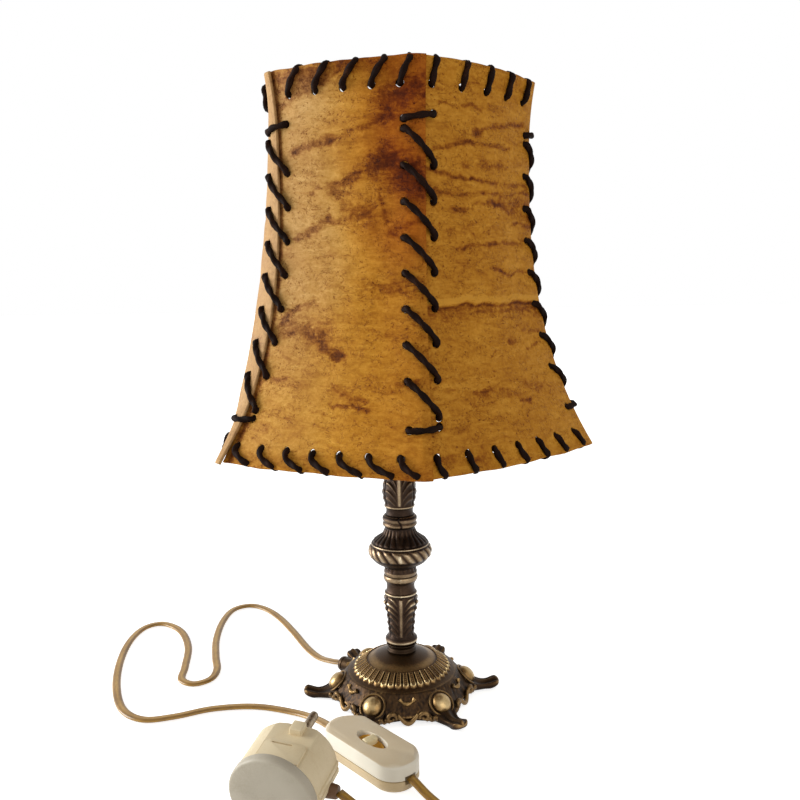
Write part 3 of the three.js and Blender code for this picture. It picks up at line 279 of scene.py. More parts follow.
class Sock:
    """A value in a finish, which can be added, subtracted and multiplied like a number."""

    def __init__(self, finish, socket):
        self.finish = finish
        self.socket = socket

    def __add__(self, other):
        return self.finish.math("ADD", self, other)

    __radd__ = __add__

    def __mul__(self, other):
        return self.finish.math("MULTIPLY", self, other)

    __rmul__ = __mul__

    def __sub__(self, other):
        return self.finish.math("SUBTRACT", self, other)

    def __rsub__(self, other):
        return self.finish.math("SUBTRACT", other, self)

    def __abs__(self):
        return self.finish.math("ABSOLUTE", self)

    def over(self, low, high):
        """0 below low, 1 above high and a smooth rise between."""
        settings = {"interpolation_type": "SMOOTHSTEP"}
        values = {"Value": self, "From Min": low, "From Max": high}
        return self.finish.node("ShaderNodeMapRange", settings, values)


class Finish:
    """A material with one Principled shader and the nodes that feed it."""

    def __init__(self, name, **values):
        self.material = bpy.data.materials.new(name)
        self.material.use_nodes = True
        self.tree = self.material.node_tree
        self.shader = self.tree.nodes["Principled BSDF"]
        self.set(**values)

    def plug(self, socket, value):
        if isinstance(value, Sock):
            self.tree.links.new(value.socket, socket)
        else:
            socket.default_value = value

    def set(self, **values):
        for key, value in values.items():
            self.plug(self.shader.inputs[key.replace("_", " ")], value)
        return self

    def node(self, kind, settings=None, values=None, out=0):
        made = self.tree.nodes.new(kind)
        for key, value in (settings or {}).items():
            setattr(made, key, value)
        for key, value in (values or {}).items():
            self.plug(made.inputs[key], value)
        return Sock(self, made.outputs[out])

    def math(self, operation, *values):
        return self.node("ShaderNodeMath", {"operation": operation}, dict(enumerate(values)))

    def place(self, scale=(1.0, 1.0, 1.0)):
        """Object coordinates in millimetres, stretched as asked."""
        coords = self.node("ShaderNodeTexCoord", out="Object")
        stretch = tuple(1000 * s for s in scale)
        return self.node("ShaderNodeMapping", None, {"Vector": coords, "Scale": stretch})

    def uv(self, scale):
        coords = self.node("ShaderNodeTexCoord", out="UV")
        return self.node("ShaderNodeMapping", None, {"Vector": coords, "Scale": scale})

    def noise(self, place, size, detail=4.0, distortion=0.0, roughness=0.5):
        values = {"Vector": place, "Scale": 1.0 / size, "Detail": detail, "Distortion": distortion,
                  "Roughness": roughness}
        return self.node("ShaderNodeTexNoise", None, values)

    def kept(self, name):
        return self.node("ShaderNodeAttribute", {"attribute_name": name}, out="Fac")

    def blend(self, share, low, high):
        values = {"Factor": share, 6: low, 7: high}
        return self.node("ShaderNodeMix", {"data_type": "RGBA"}, values, out=2)

    def ramp(self, share, *stops):
        made = self.tree.nodes.new("ShaderNodeValToRGB")
        elements = made.color_ramp.elements
        while len(elements) < len(stops):
            elements.new(1.0)
        for element, (position, colour) in zip(elements, stops):
            element.position = position
            element.color = tint(colour)
        self.plug(made.inputs["Fac"], share)
        return Sock(self, made.outputs["Color"])

    def shades(self, share, *colours):
        """A ramp of colours at even steps."""
        last = len(colours) - 1
        return self.ramp(share, *((i / last, colour) for i, colour in enumerate(colours)))

    def bump(self, height, strength, distance):
        values = {"Height": height, "Strength": strength, "Distance": distance}
        return self.set(Normal=self.node("ShaderNodeBump", None, values))


def rawhide():
    """Amber hide with brown stains, squiggles and pores, and painted light: paler where the window light
    falls, deeper amber where light glows through it, and painted shadows and a painted highlight kept with
    the stains.
    """
    finish = Finish("rawhide", Specular_IOR_Level=0.06)
    place = finish.place((1.0, 1.0, 2.0))
    broad = finish.noise(place, 48.0, 3.0, 0.6)
    cloud = finish.noise(place, 11.0, 8.0, 1.2, 0.68)
    crease = finish.noise(finish.place((1.0, 1.0, 4.5)), 16.0, 6.0, 0.9, 0.6)
    speck = finish.noise(finish.place(), 2.0, 6.0, 0.4, 0.65)
    patch = finish.noise(finish.place(), 9.0, 2.0)
    fine = finish.noise(finish.place((1.0, 1.0, 1.7)), 9.0, 5.0, 1.6, 0.55)
    squiggle = (1.0 - abs(fine - 0.5).over(0.0, 0.016)) * patch.over(0.4, 0.55)
    pore = finish.noise(finish.place(), 1.3, 2.0).over(0.62, 0.7) * patch.over(0.35, 0.6)
    # Stains, together with painted shadow along the laps and at the fold, as kept on the points.
    stain_and_painted_light = finish.kept("stain_and_painted_light")
    ragged = stain_and_painted_light.over(0.02, 0.5)
    blot = (stain_and_painted_light * 1.1 + ((cloud - 0.5) * 0.9 + (speck - 0.5) * 0.7) * ragged).over(0.0, 1.3)
    # Painted highlight above the fold of the right-hand panel, where the kept value falls below zero.
    lit = stain_and_painted_light.over(0.0, -0.5)
    depth = 0.22 + blot * 0.6 + (broad - 0.5) * 0.4 + (cloud - 0.5) * 0.6 + (crease - 0.5) * 0.55
    depth = depth + (speck - 0.5) * 0.55 + squiggle * 0.3 + pore * 0.34 - lit * 0.3
    amber = finish.shades(depth, "#D49C3A", "#BB8126", "#965A16", "#6A360C", "#431F08")
    # Painted light: a paler copy of the hide's colours, for where the window light falls.
    painted_lit_tan = finish.shades(depth, "#C79E62", "#B2864A", "#916131", "#683D1C", "#432411")
    # Painted glow: a deeper amber copy of the hide's colours, for where light shines through the hide.
    deep = finish.shades(depth, "#B0661A", "#944E10", "#70310A", "#4E1D07", "#321006")
    pale_tone_and_painted_light = finish.kept("pale_tone_and_painted_light")
    colour = finish.blend(pale_tone_and_painted_light, amber, painted_lit_tan)
    # Painted light on the far-left strip, turned to a pinkish buff.
    colour = finish.blend((pale_tone_and_painted_light - 1.0).over(0.0, 1.0) * 0.55, colour, tint("#A5835F"))
    # Painted glow of light through the hide on the front-left panel, elsewhere a deeper tone of the hide's
    # own.
    colour = finish.blend(finish.kept("orange_tone_and_painted_glow") * 0.85, colour, deep)
    finish.set(Base_Color=colour, Roughness=0.55 + (speck - 0.5) * 0.3)
    height = cloud * 0.45 + crease * 0.8 + fine * 0.25 + speck * 0.35
    height = height - squiggle * 0.25 - pore * 0.3 - blot * 0.3
    finish.bump(height, 0.5, 0.0012)
    return finish.material


def waxed_lace():
    """Almost black waxed twine, with red-brown fibres along its plies."""
    finish = Finish("waxed_lace", Specular_IOR_Level=0.06)
    fibre = finish.noise(finish.uv((26.0, 500.0, 1.0)), 1.0, 3.0, 0.3)
    dust = finish.noise(finish.place(), 1.6, 4.0)
    patch = finish.noise(finish.place(), 9.0, 2.0)
    shade = fibre * 0.5 + dust * 0.35 + (patch - 0.35) * 0.6
    finish.set(Base_Color=finish.ramp(shade, (0.3, "#0A0402"), (0.6, "#1C0D07"), (0.95, "#4E2D18")),
               Roughness=0.55 + dust * 0.3)
    finish.bump(fibre + dust * 0.4, 0.5, 0.0003)
    return finish.material


def antique_bronze(name, dark, middle, bright, shine):
    """Cast bronze, dark where the relief is deep and rubbed to gold where it stands proud."""
    finish = Finish(name, Metallic=0.85)
    place = finish.place()
    patch = finish.noise(place, 14.0, 4.0, 0.5)
    grain = finish.noise(place, 1.1, 5.0, 0.2, 0.6)
    wear = finish.kept("wear") + (patch - 0.5) * 0.3 + (grain - 0.5) * 0.26
    colour = finish.ramp(wear, (0.0, dark), (0.36, middle), (0.66, bright), (0.95, shine))
    finish.set(Base_Color=colour, Roughness=0.46 - wear.over(0.2, 0.9) * 0.17 + (grain - 0.5) * 0.16)
    finish.bump(grain + patch * 0.4, 0.25, 0.0003)
    return finish.material


def moulded(name, colour, aged, gloss, painted_top_shade=0.0):
    """Moulded plastic that has yellowed a little in patches. Where asked, the faces that look up are
    darkened toward the aged colour as painted shade.
    """
    finish = Finish(name, Specular_IOR_Level=0.4, Coat_Roughness=0.3)
    cloud = finish.noise(finish.place(), 18.0, 4.0, 0.4)
    dust = finish.noise(finish.place(), 0.9, 3.0)
    share = (cloud - 0.35) * 1.4 + (dust - 0.5) * 0.5
    if painted_top_shade:
        # Painted shade: the faces that look up are darkened toward the aged colour.
        normal = finish.node("ShaderNodeNewGeometry", out="Normal")
        upward = finish.node("ShaderNodeSeparateXYZ", None, {"Vector": normal}, out="Z")
        share = share * 0.4 + upward.over(0.6, 0.95) * painted_top_shade
    finish.set(Base_Color=finish.blend(share.over(0.0, 1.0), tint(colour), tint(aged)),
               Roughness=gloss + (dust - 0.5) * 0.14)
    finish.bump(dust * 0.6 + cloud * 0.2, 0.12, 0.0002)
    return finish.material


def clear_cord():
    """Gold-brown vinyl over two stranded cores that show through as darker lines."""
    finish = Finish("clear_cord", Specular_IOR_Level=0.4, Coat_Weight=0.15, Coat_Roughness=0.3)
    across = finish.node("ShaderNodeSeparateXYZ", None, {"Vector": finish.uv((1.0, 1.0, 1.0))})
    strand = finish.noise(finish.uv((18.0, 160.0, 1.0)), 1.0, 2.0)
    cloud = finish.noise(finish.place(), 20.0, 3.0)
    core = abs(finish.math("SINE", across * TAU * 2.0))
    share = core * 0.35 + (strand - 0.5) * 0.5 + cloud * 0.5
    finish.set(Base_Color=finish.ramp(share, (0.2, "#BC9240"), (0.5, "#966D26"), (0.8, "#624512")),
               Roughness=0.32 + (cloud - 0.5) * 0.2)
    finish.bump(strand, 0.12, 0.0002)
    return finish.material


def plain_metal(name, colour, deep, roughness):
    finish = Finish(name, Metallic=0.9)
    brush = finish.noise(finish.place((1.0, 1.0, 0.2)), 0.8, 4.0)
    spot = finish.noise(finish.place(), 7.0, 4.0)
    share = (brush - 0.5) * 0.7 + spot
    finish.set(Base_Color=finish.ramp(share, (0.25, deep), (0.7, colour)),
               Roughness=roughness + (spot - 0.5) * 0.25)
    finish.bump(brush, 0.15, 0.0002)
    return finish.material


def bulb_clear():
    finish = Finish("bulb_clear", Roughness=0.06, IOR=1.45, Transmission_Weight=0.9)
    film = finish.noise(finish.place(), 12.0, 2.0)
    finish.set(Base_Color=finish.blend(film, tint("#FBF7EC"), tint("#F1E9D6")))
    return finish.material


HIDE = rawhide()
LACE = waxed_lace()
BRONZE = antique_bronze("antique_bronze", "#190F0A", "#3E2D20", "#857056", "#D2C2A4")
GILT = antique_bronze("gilded_bronze", "#1A1009", "#453019", "#94764A", "#DCC796")
COLLAR = antique_bronze("collar_patina", "#150D06", "#2E1F10", "#5C4526", "#94743F")
# The switch cover, with painted shade on its upward faces.
COVER = moulded("ivory_with_painted_top_shade", "#E3DCCB", "#D0BD9C", 0.42, 0.75)
BEIGE = moulded("beige_ivory", "#C6B08A", "#AE9468", 0.45)
DRUM = moulded("drum_ivory", "#DCCBA8", "#C8B084", 0.45)
# A brown sleeve as painted shadow where the cord leaves the plug.
SHADOW_SLEEVE = moulded("brown_sleeve_as_painted_shadow", "#5A3A1A", "#3A2410", 0.5)
# The ivory of the plug, greyed as painted shade for its cover's face.
SHADED_DISC = moulded("ivory_in_painted_shade", "#B3AA98", "#938671", 0.5)
CREAM = moulded("cream_ridge", "#E4D3A8", "#CDB47C", 0.35)
AMBER = moulded("amber_rocker", "#C08A2C", "#8E5C14", 0.3)
HOLDER = moulded("holder_ivory", "#E2D8C0", "#CBB98F", 0.45)
PORCELAIN = moulded("porcelain", "#EFEBE2", "#DCD4C4", 0.25)
TIE = moulded("tie_band", "#2A2420", "#181310", 0.6)
CORD = clear_cord()
PIN = plain_metal("brown_steel", "#A89880", "#5A432C", 0.36)
STEEL = plain_metal("plain_steel", "#B4B2AC", "#77736B", 0.38)
BRASS = plain_metal("pressed_brass", "#D2AC5A", "#94702B", 0.34)
GLASS = bulb_clear()


# Camera and light, set to the photograph's view

FOCUS = 850.0  # focal length in pixels of an 800 pixel frame
FRAME_WIDTH = 800.0
SENSOR_WIDTH = 36.0
CAMERA_PLACE = Vector((1.3, -520.0, 264.0))  # millimetres from the column's axis
CAMERA_TILT = 82.0
CAMERA_ROLL = -0.85
WHITE = (1.0, 1.0, 1.0, 1.0)
BLACK = (0.0, 0.0, 0.0, 1.0)
camera_data = bpy.data.cameras.new("camera")
camera_data.sensor_width = SENSOR_WIDTH
camera_data.lens = SENSOR_WIDTH * FOCUS / FRAME_WIDTH
camera = bpy.data.objects.new("camera", camera_data)
bpy.context.scene.collection.objects.link(camera)
camera.location = (AXIS + CAMERA_PLACE) * MM
tilt = Quaternion((1.0, 0.0, 0.0), math.radians(CAMERA_TILT))
camera.rotation_mode = "QUATERNION"
camera.rotation_quaternion = tilt @ Quaternion((0.0, 0.0, 1.0), math.radians(CAMERA_ROLL))
camera_data.clip_start = 0.01
camera_data.clip_end = 50.0
bpy.context.scene.camera = camera
bpy.context.scene.view_settings.view_transform = "Standard"


def area_light(name, place, target, size, power, colour):
    data = bpy.data.lights.new(name, "AREA")
    data.size = size
    data.energy = power
    data.color = colour
    light = bpy.data.objects.new(name, data)
    bpy.context.scene.collection.objects.link(light)
    light.location = place
    light.rotation_mode = "QUATERNION"
    light.rotation_quaternion = (Vector(target) - Vector(place)).to_track_quat("-Z", "Y")


area_light("window", (-1.6, 0.12, 0.5), (0.0, 0.0, 0.2), 1.0, 36.0, (0.97, 0.99, 1.0))
area_light("room", (0.95, -1.4, 0.8), (0.0, 0.0, 0.2), 1.4, 9.0, (1.0, 0.95, 0.87))

# Brightness of the room and of the floor for light, and white where they are seen or mirrored
ROOM_LEVEL = 0.4
FLOOR_GLOW = 0.75
FADE_START = 0.45
FADE_END = 1.6


def seen_ray(tree):
    """1 for a ray that sees or mirrors what it meets, and 0 for one that only gathers its light."""
    rays = tree.node("ShaderNodeLightPath", out="Is Camera Ray")
    outputs = rays.socket.node.outputs
    for name in ("Is Glossy Ray", "Is Transmission Ray"):
        rays = tree.math("MAXIMUM", rays, Sock(tree, outputs[name]))
    return rays


class Surroundings(Finish):
    """The world, with the same helpers as a finish."""

    def __init__(self, name):
        self.world = bpy.data.worlds.new(name)
        self.world.use_nodes = True
        self.tree = self.world.node_tree
        self.shader = self.tree.nodes["Background"]


room = Surroundings("studio")
room.set(Color=WHITE, Strength=seen_ray(room) * (1.0 - ROOM_LEVEL) + ROOM_LEVEL)
bpy.context.scene.world = room.world

begin()
bpy.ops.mesh.primitive_plane_add(size=14.0, location=(0.0, 0.0, -0.0004))
floor = settled("floor")
paper = Finish("pale_floor", Roughness=0.9, Specular_IOR_Level=0.1, Base_Color=(0.86, 0.86, 0.85, 1.0))
spot = paper.node("ShaderNodeTexCoord", out="Object")
distance = paper.node("ShaderNodeVectorMath", {"operation": "LENGTH"}, {0: spot}, out="Value")
away = distance.over(FADE_START, FADE_END)
glow = seen_ray(paper) * (FLOOR_GLOW + away * (1.0 - FLOOR_GLOW))
paper.set(Emission_Color=paper.blend(glow, BLACK, WHITE), Emission_Strength=1.0)
floor.data.materials.append(paper.material)


# Flat twin cord along the route that the CAD has

CORD_WIDTH = 5.4
CORD_THICKNESS = 2.7
CORD_HEIGHT = 1.5
COIL_PLACE = (45.0, -188.0)
COIL_RADIUS = 40.0
COIL_PITCH = 7.4
COIL_LAYER = 3.2
COIL_LIFT = 1.0
COIL_START = 75.0
COIL_END = 180.0
COIL_WHOLE_TURNS = 4
COIL_CLIMB = 0.2
BUSH_TURN = math.radians(144.0)
BUSH_HEIGHT = 6.1
BUSH_END = 51.0
SWITCH_PLACE = (-17.5, -86.0)
SWITCH_TURN = -48.5
SWITCH_LENGTH = 65.0
PLUG_PLACE = (-61.5, -150.5)
PLUG_TURN = math.radians(71.7)
PLUG_TILT = math.radians(10.0)
PLUG_ROLL = math.radians(3.0)
PLUG_RADIUS = 22.5
PLUG_MIDDLE = PLUG_RADIUS * math.cos(PLUG_TILT) + 0.3
GLAND_ALONG = 20.0
GLAND_LOW = -6.0
GLAND_END = 25.4
PLUG_POSE = (Matrix.Translation((*PLUG_PLACE, PLUG_MIDDLE)) @ Matrix.Rotation(PLUG_TURN, 4, "Z")
             @ Matrix.Rotation(-PLUG_TILT, 4, "Y") @ Matrix.Rotation(PLUG_ROLL, 4, "X"))


def on_table(places):
    return [Vector((p[0], p[1], CORD_HEIGHT + (p[2] if len(p) > 2 else 0.0))) for p in places]


def turned_place(origin, turn, local):
    c, s = math.cos(math.radians(turn)), math.sin(math.radians(turn))
    x, y, z = local
    return Vector((origin[0] + x * c - y * s, origin[1] + x * s + y * c, z))


def along_bush(reach, height=BUSH_HEIGHT):
    return Vector((reach * math.cos(BUSH_TURN), reach * math.sin(BUSH_TURN), height))


CORD_ENTRY = 8.45
switch_in = turned_place(SWITCH_PLACE, SWITCH_TURN, (-SWITCH_LENGTH / 2 - 0.3, 0.0, CORD_ENTRY))
switch_out = turned_place(SWITCH_PLACE, SWITCH_TURN, (SWITCH_LENGTH / 2 + 0.3, 0.0, CORD_ENTRY))
gland_mouth = PLUG_POSE @ Vector((GLAND_ALONG, -GLAND_END - 0.3, GLAND_LOW))
to_switch = [along_bush(BUSH_END - 12.0), along_bush(BUSH_END)] + on_table([
    (-49, 36, 3.2), (-58, 47, 0.8), (-68, 64), (-82, 94), (-96, 121), (-110, 140), (-124, 148),
    (-136, 140), (-140, 116), (-138, 82), (-132, 52), (-127, 32), (-128.5, 18), (-138, 11.5), (-147.5, 18),
    (-150, 36), (-156, 70), (-169, 99), (-186, 113), (-198, 106), (-202, 82), (-198, 46), (-188, 8),
    (-174, -22), (-158, -34), (-140, -31), (-118, -22), (-92, -20), (-66, -30, 1), (-50, -45, 4),
]) + [switch_in]

coil_turns = COIL_WHOLE_TURNS + (COIL_START - COIL_END + 360.0) / 360.0


def coil_point(turns):
    from_middle = abs(turns - coil_turns / 2)
    radius = COIL_RADIUS - COIL_PITCH * (coil_turns / 2 - from_middle)
    climb = ease(0.0, 1.0, (turns - coil_turns / 2) / COIL_CLIMB + 0.5)
    turn = math.radians(COIL_START - 360.0 * turns)
    height = COIL_LIFT + CORD_THICKNESS / 2 + COIL_LAYER * climb
    x = COIL_PLACE[0] + radius * math.cos(turn)
    y = COIL_PLACE[1] + radius * math.sin(turn)
    return Vector((x, y, height))


coil = [coil_point(coil_turns * i / 150) for i in range(151)]
before_coil = on_table([(14, -121.5, 2.5), (25.5, -132), (36, -140, 0.4)])
after_coil = on_table([(4.2, -176, 2.7), (0, -164.5, 2), (-8.5, -153.5, 5), (-18, -146.5, 11)])
from_switch = spaced([switch_out] + before_coil + [coil[0]], 3.0) + coil[1:]
from_switch += spaced([coil[-1]] + after_coil + [gland_mouth], 3.0)[1:]


def twin_section():
    """Two round cores side by side in one jacket, with a shallow groove between them."""
    ring = []
    for i in range(20):
        turn = TAU * i / 20
        x = CORD_WIDTH / 2 * math.copysign(abs(math.cos(turn)) ** 0.8, math.cos(turn))
        groove = 1.0 - 0.2 * bell(x, 0.0, 0.55)
        ring.append((x, CORD_THICKNESS / 2 * math.sin(turn) * groove))
    return ring


def flat_cord(name, path, *nodes):
    cord = swept(name, path, twin_section(), level=True)
    moved(cord, LAMP_FRAME)
    return dressed(cord, "lamp", "cord", CORD, *nodes)


def measured(path):
    return sum((b - a).length for a, b in zip(path, path[1:])) * MM


def in_row(point):
    return (point + AXIS) * MM


switch_line = spaced(to_switch, 2.5)
lamp_cord = flat_cord("lamp_cord", switch_line, "cord_to_switch")
plug_cord = flat_cord("plug_cord", from_switch, "cord_to_coil", "cord_coil", "cord_to_plug")


# Shade surface, as the CAD has it but smooth, with a rounder left panel and two seams that wander

SEAM_TURNS = (-81.0, -9.0, 63.0, 135.0, 214.0)  # degrees to the seam at each panel's right edge
SEAM_DRIFTS = (-2.6, -5.0, 0.0, 0.0, 0.0)  # degrees that a seam wanders from there down to its foot
PANELS = len(SEAM_TURNS)
SHADE_HEIGHT = 208.0
SHADE_FOOT = 167.05
SHADE_TOP = SHADE_FOOT + SHADE_HEIGHT
TOP_RADIUS = 80.5
WAIST_RADIUS = 77.3
BOTTOM_RADIUS = 116.0
WAIST_BELOW_TOP = 35.0
FLARE_POWER = 2.7
TOP_BULGE = 0.5
BOTTOM_BULGE = 0.35
LEFT_SWELL = 0.56
THICKNESS = 1.3
OVERLAP = 4.0
OVERLAP_LIFT = 1.2
OVERLAP_BEND = 0.6
WAIST = SHADE_TOP - WAIST_BELOW_TOP


def corner_radius(z):
    if z > WAIST:
        return WAIST_RADIUS + (TOP_RADIUS - WAIST_RADIUS) * ((z - WAIST) / WAIST_BELOW_TOP) ** 2
    down = (WAIST - z) / (WAIST - SHADE_FOOT)
    return WAIST_RADIUS + (BOTTOM_RADIUS - WAIST_RADIUS) * down**FLARE_POWER


def right_seam(side, z):
    down = min(max((SHADE_TOP - z) / SHADE_HEIGHT, 0.0), 1.0)
    return math.radians(SEAM_TURNS[side] + SEAM_DRIFTS[side] * down**2)


def left_seam(side, z):
    return right_seam(side - 1, z) if side else right_seam(PANELS - 1, z) - TAU


def half_side(side, z):
    return (right_seam(side, z) - left_seam(side, z)) / 2.0


def side_middle(side, z):
    return (right_seam(side, z) + left_seam(side, z)) / 2.0


def side_arc(side, z):
    """The radius, the centre's reach and the chord of a panel's arc at a height."""
    corner = corner_radius(z)
    level = (z - SHADE_FOOT) / SHADE_HEIGHT
    bulge = mix(BOTTOM_BULGE, TOP_BULGE, level)
    if side == PANELS - 1:
        bulge += LEFT_SWELL * math.sin(math.pi * min(max(level, 0.0), 1.0) ** 0.8)
    half = corner * math.sin(half_side(side, z))
    rise = bulge * corner * (1.0 - math.cos(half_side(side, z)))
    radius = (half**2 + rise**2) / (2.0 * rise)
    return radius, corner * math.cos(half_side(side, z)) + rise - radius, 2.0 * half


def half_swing(side, z):
    radius, _, chord = side_arc(side, z)
    return math.asin(chord / 2.0 / radius)


def lift_at(share):
    return OVERLAP_LIFT * ease(0.8, 1.0, share)


def side_point(side, share, z, off=0.0):
    radius, centre, _ = side_arc(side, z)
    angle = mix(-half_side(side, z), half_side(side, z), share)
    along = centre * math.cos(angle)
    reach = along + math.sqrt(along**2 - centre**2 + (radius + off) ** 2)
    turn = side_middle(side, z) + angle
    return Vector((reach * math.cos(turn), reach * math.sin(turn), z))


def hide_point(side, share, z, off=0.0, past=0.0):
    if past <= 0.0:
        return side_point(side, share, z, off + lift_at(share))
    following = (side + 1) % PANELS
    swing = half_swing(side, z)
    turn = half_side(side, z) + half_side(following, z) - swing - half_swing(following, z)
    heading = side_middle(side, z) + swing + math.pi / 2.0 + OVERLAP_BEND * turn
    out = heading - math.pi / 2.0
    corner = side_point(side, 1.0, z, lift_at(1.0))
    return corner + Vector((past * math.cos(heading) + off * math.cos(out),
                            past * math.sin(heading) + off * math.sin(out), 0.0))


# Stitch places

LACE_RADIUS = 1.75
LACE_OUT = THICKNESS / 2 + 0.8 * LACE_RADIUS
TOP_STITCHES = 5
BOTTOM_STITCHES = 7
TOP_HOLES = SHADE_TOP - 13.0
BOTTOM_HOLES = SHADE_FOOT + 9.4
TOP_SLANT = 5.5
BOTTOM_SLANT = 8.0
SLANT_LEAD = 0.33
RIM_LEANS = (1.5, 0.45, 1.0, 1.0, 1.0)  # each panel's own share of the slant
SEAM_STITCHES = 8
SEAM_HOLE_BEFORE = 6.3
SEAM_HOLE_AFTER = 8.5
SEAM_TOP = SHADE_TOP - 35.0
SEAM_FOOT = SHADE_FOOT + 28.0
SEAM_START = SEAM_TOP + 7.5
SEAM_END = SEAM_FOOT - 4.3
START_TILT = 2.7
END_TILT = 0.9
LACE_TAIL = 8.0
TOP_SHIFT = 0.07  # how far the front panel's upper stitches are moved to the right
TOP_RIM = (TOP_STITCHES, TOP_SLANT, TOP_HOLES)
BOTTOM_RIM = (BOTTOM_STITCHES, BOTTOM_SLANT, BOTTOM_HOLES)
seam_levels = [mix(SEAM_TOP, SEAM_FOOT, k / SEAM_STITCHES) for k in range(SEAM_STITCHES + 1)]


def as_share(length, side, z):
    return length / side_arc(side, z)[2]


def left_share(side, z):
    return 1.0 - as_share(SEAM_HOLE_BEFORE, side, z)


def right_share(side, z):
    return as_share(SEAM_HOLE_AFTER, side, z)


def rim_stitches(side, count):
    """How many stitches a panel's rim has: one fewer on the left, where the lap is wide."""
    return count - 1 if side == PANELS - 1 else count


def rim_share(i, count, slant, side, z):
    share = (i + 0.5) / count
    if side == 0 and count == TOP_STITCHES:
        share += TOP_SHIFT * (1.0 - share**4)
    return share - as_share(slant * SLANT_LEAD, side, z)


def hole_places(side):
    places = []
    for count, slant, z in (TOP_RIM, BOTTOM_RIM):
        places += [(rim_share(i, count, slant, side, z), z) for i in range(rim_stitches(side, count))]
    lefts = [SEAM_START - START_TILT] + seam_levels[:-1] + [SEAM_END - END_TILT]
    places += [(left_share(side, z), z) for z in lefts]
    places += [(right_share(side, z), z) for z in [SEAM_START] + seam_levels[1:] + [SEAM_END]]
    return places


# Hide panels

HOLE_RADIUS = 2.15
HIDE_COLUMNS = 110
HIDE_ROWS = 230
# Stains of the two panels that face the front, each along a line: hundredths of the panel's width and
# millimetres above its foot at both ends, half its breadth in millimetres and its depth
STAINS = {
    0: [(2, 189, 44, 201, 3.2, 0.6), (4, 203, 70, 207, 3.5, 0.4), (5, 160, 20, 167, 3.0, 0.3),
        (19, 167, 42, 171, 3.0, 0.75), (42, 171, 84, 178, 2.6, 0.55), (82, 184, 100, 190, 9.0, 0.8),
        (25, 143, 55, 150, 1.8, 0.5), (55, 150, 86, 157, 4.0, 0.7), (78, 156, 100, 146, 10.0, 0.8),
        (46, 143, 74, 128, 6.0, 0.5), (5, 118, 42, 127, 3.4, 0.6), (42, 127, 72, 134, 3.0, 0.55),
        (38, 126, 42, 128, 2.4, 0.7), (76, 140, 82, 128, 2.5, 0.5), (84, 121, 100, 126, 2.5, 0.45),
        (66, 92, 98, 94, 5.0, 0.5), (14, 76, 42, 71, 7.5, 0.5), (30, 69, 42, 67, 5.5, 0.55),
        (12, 77, 31, 86, 2.2, 0.6), (5, 69, 20, 68, 2.0, 0.45), (53, 58, 57, 57, 2.6, 0.8),
        (42, 64, 55, 58, 2.5, 0.45), (53, 40, 72, 34, 4.5, 0.45), (50, 33, 73, 31, 1.4, 0.7),
        (75, 40, 100, 45, 3.0, 0.4), (8, 46, 22, 47, 2.4, 0.45), (10, 16, 26, 24, 4.0, 0.35),
        (30, 30, 50, 28, 1.2, 0.45), (60, 72, 90, 66, 3.0, 0.3), (2, 198, 60, 206, 8.0, 0.45)],
    1: [(9, 187, 46, 184, 1.2, 0.6), (40, 175, 90, 183, 1.8, 0.75), (10, 165, 38, 170, 1.6, 0.7),
        (38, 170, 75, 168, 1.3, 0.55), (0, 155, 36, 150, 1.3, 0.8), (36, 150, 96, 149, 1.7, 0.6),
        (4, 143, 50, 142, 1.4, 0.5), (48, 142, 97, 146, 1.6, 0.5), (22, 134, 68, 137, 1.8, 0.6),
        (60, 137, 98, 131, 2.2, 0.6), (76, 127, 98, 126, 1.3, 0.5), (26, 113, 60, 118, 1.6, 0.6),
        (58, 118, 94, 116, 1.5, 0.5), (50, 102, 98, 99, 1.5, 0.65), (0, 104, 30, 97, 2.4, 0.35),
        (0, 193, 40, 198, 3.5, 0.35), (30, 158, 70, 160, 4.0, 0.35), (62, 140, 96, 138, 5.0, 0.4),
        (5, 124, 40, 122, 4.0, 0.3), (33, 37, 92, 36, 4.0, 0.35), (34, 36, 39, 37, 1.4, 0.5),
        (58, 31, 66, 29, 1.6, 0.7), (60, 62, 66, 64, 2.0, 0.6), (72, 70, 96, 66, 2.0, 0.35),
        (2, 43, 34, 38, 1.2, 0.45), (16, 60, 26, 56, 1.0, 0.4), (78, 58, 92, 60, 1.2, 0.5),
        (0, 7, 30, 6, 3.0, 0.35)],
}
FOLD_LEVEL = 84.0  # the fold across the right-hand panel, above its foot


def stain_lines(side):
    """The stains of a panel: drawn ones at the front, and wandering ones on the panels behind."""
    if side in STAINS:
        return STAINS[side]
    lines = []
    for k in range(18):
        across = 4.0 + (k * 37 + side * 23) % (56 if side == PANELS - 1 else 40)
        up = 12.0 + 11.0 * k
        slope = 9.0 * rough(k * 1.7, side * 3.1, 0.5, 1.0)
        lines.append((across, up, across + 18.0 + (k * 13) % 22, up + slope, 1.4 + (k * 7 + side) % 4, 0.5))
    return lines


def along_line(x, y, x0, y0, x1, y1, breadth):
    """1 on a line between two places, fading away from it."""
    dx, dy = x1 - x0, y1 - y0
    share = min(max(((x - x0) * dx + (y - y0) * dy) / (dx * dx + dy * dy), 0.0), 1.0)
    gap = math.hypot(x - x0 - dx * share, y - y0 - dy * share)
    return math.exp(-((gap / breadth) ** 2))


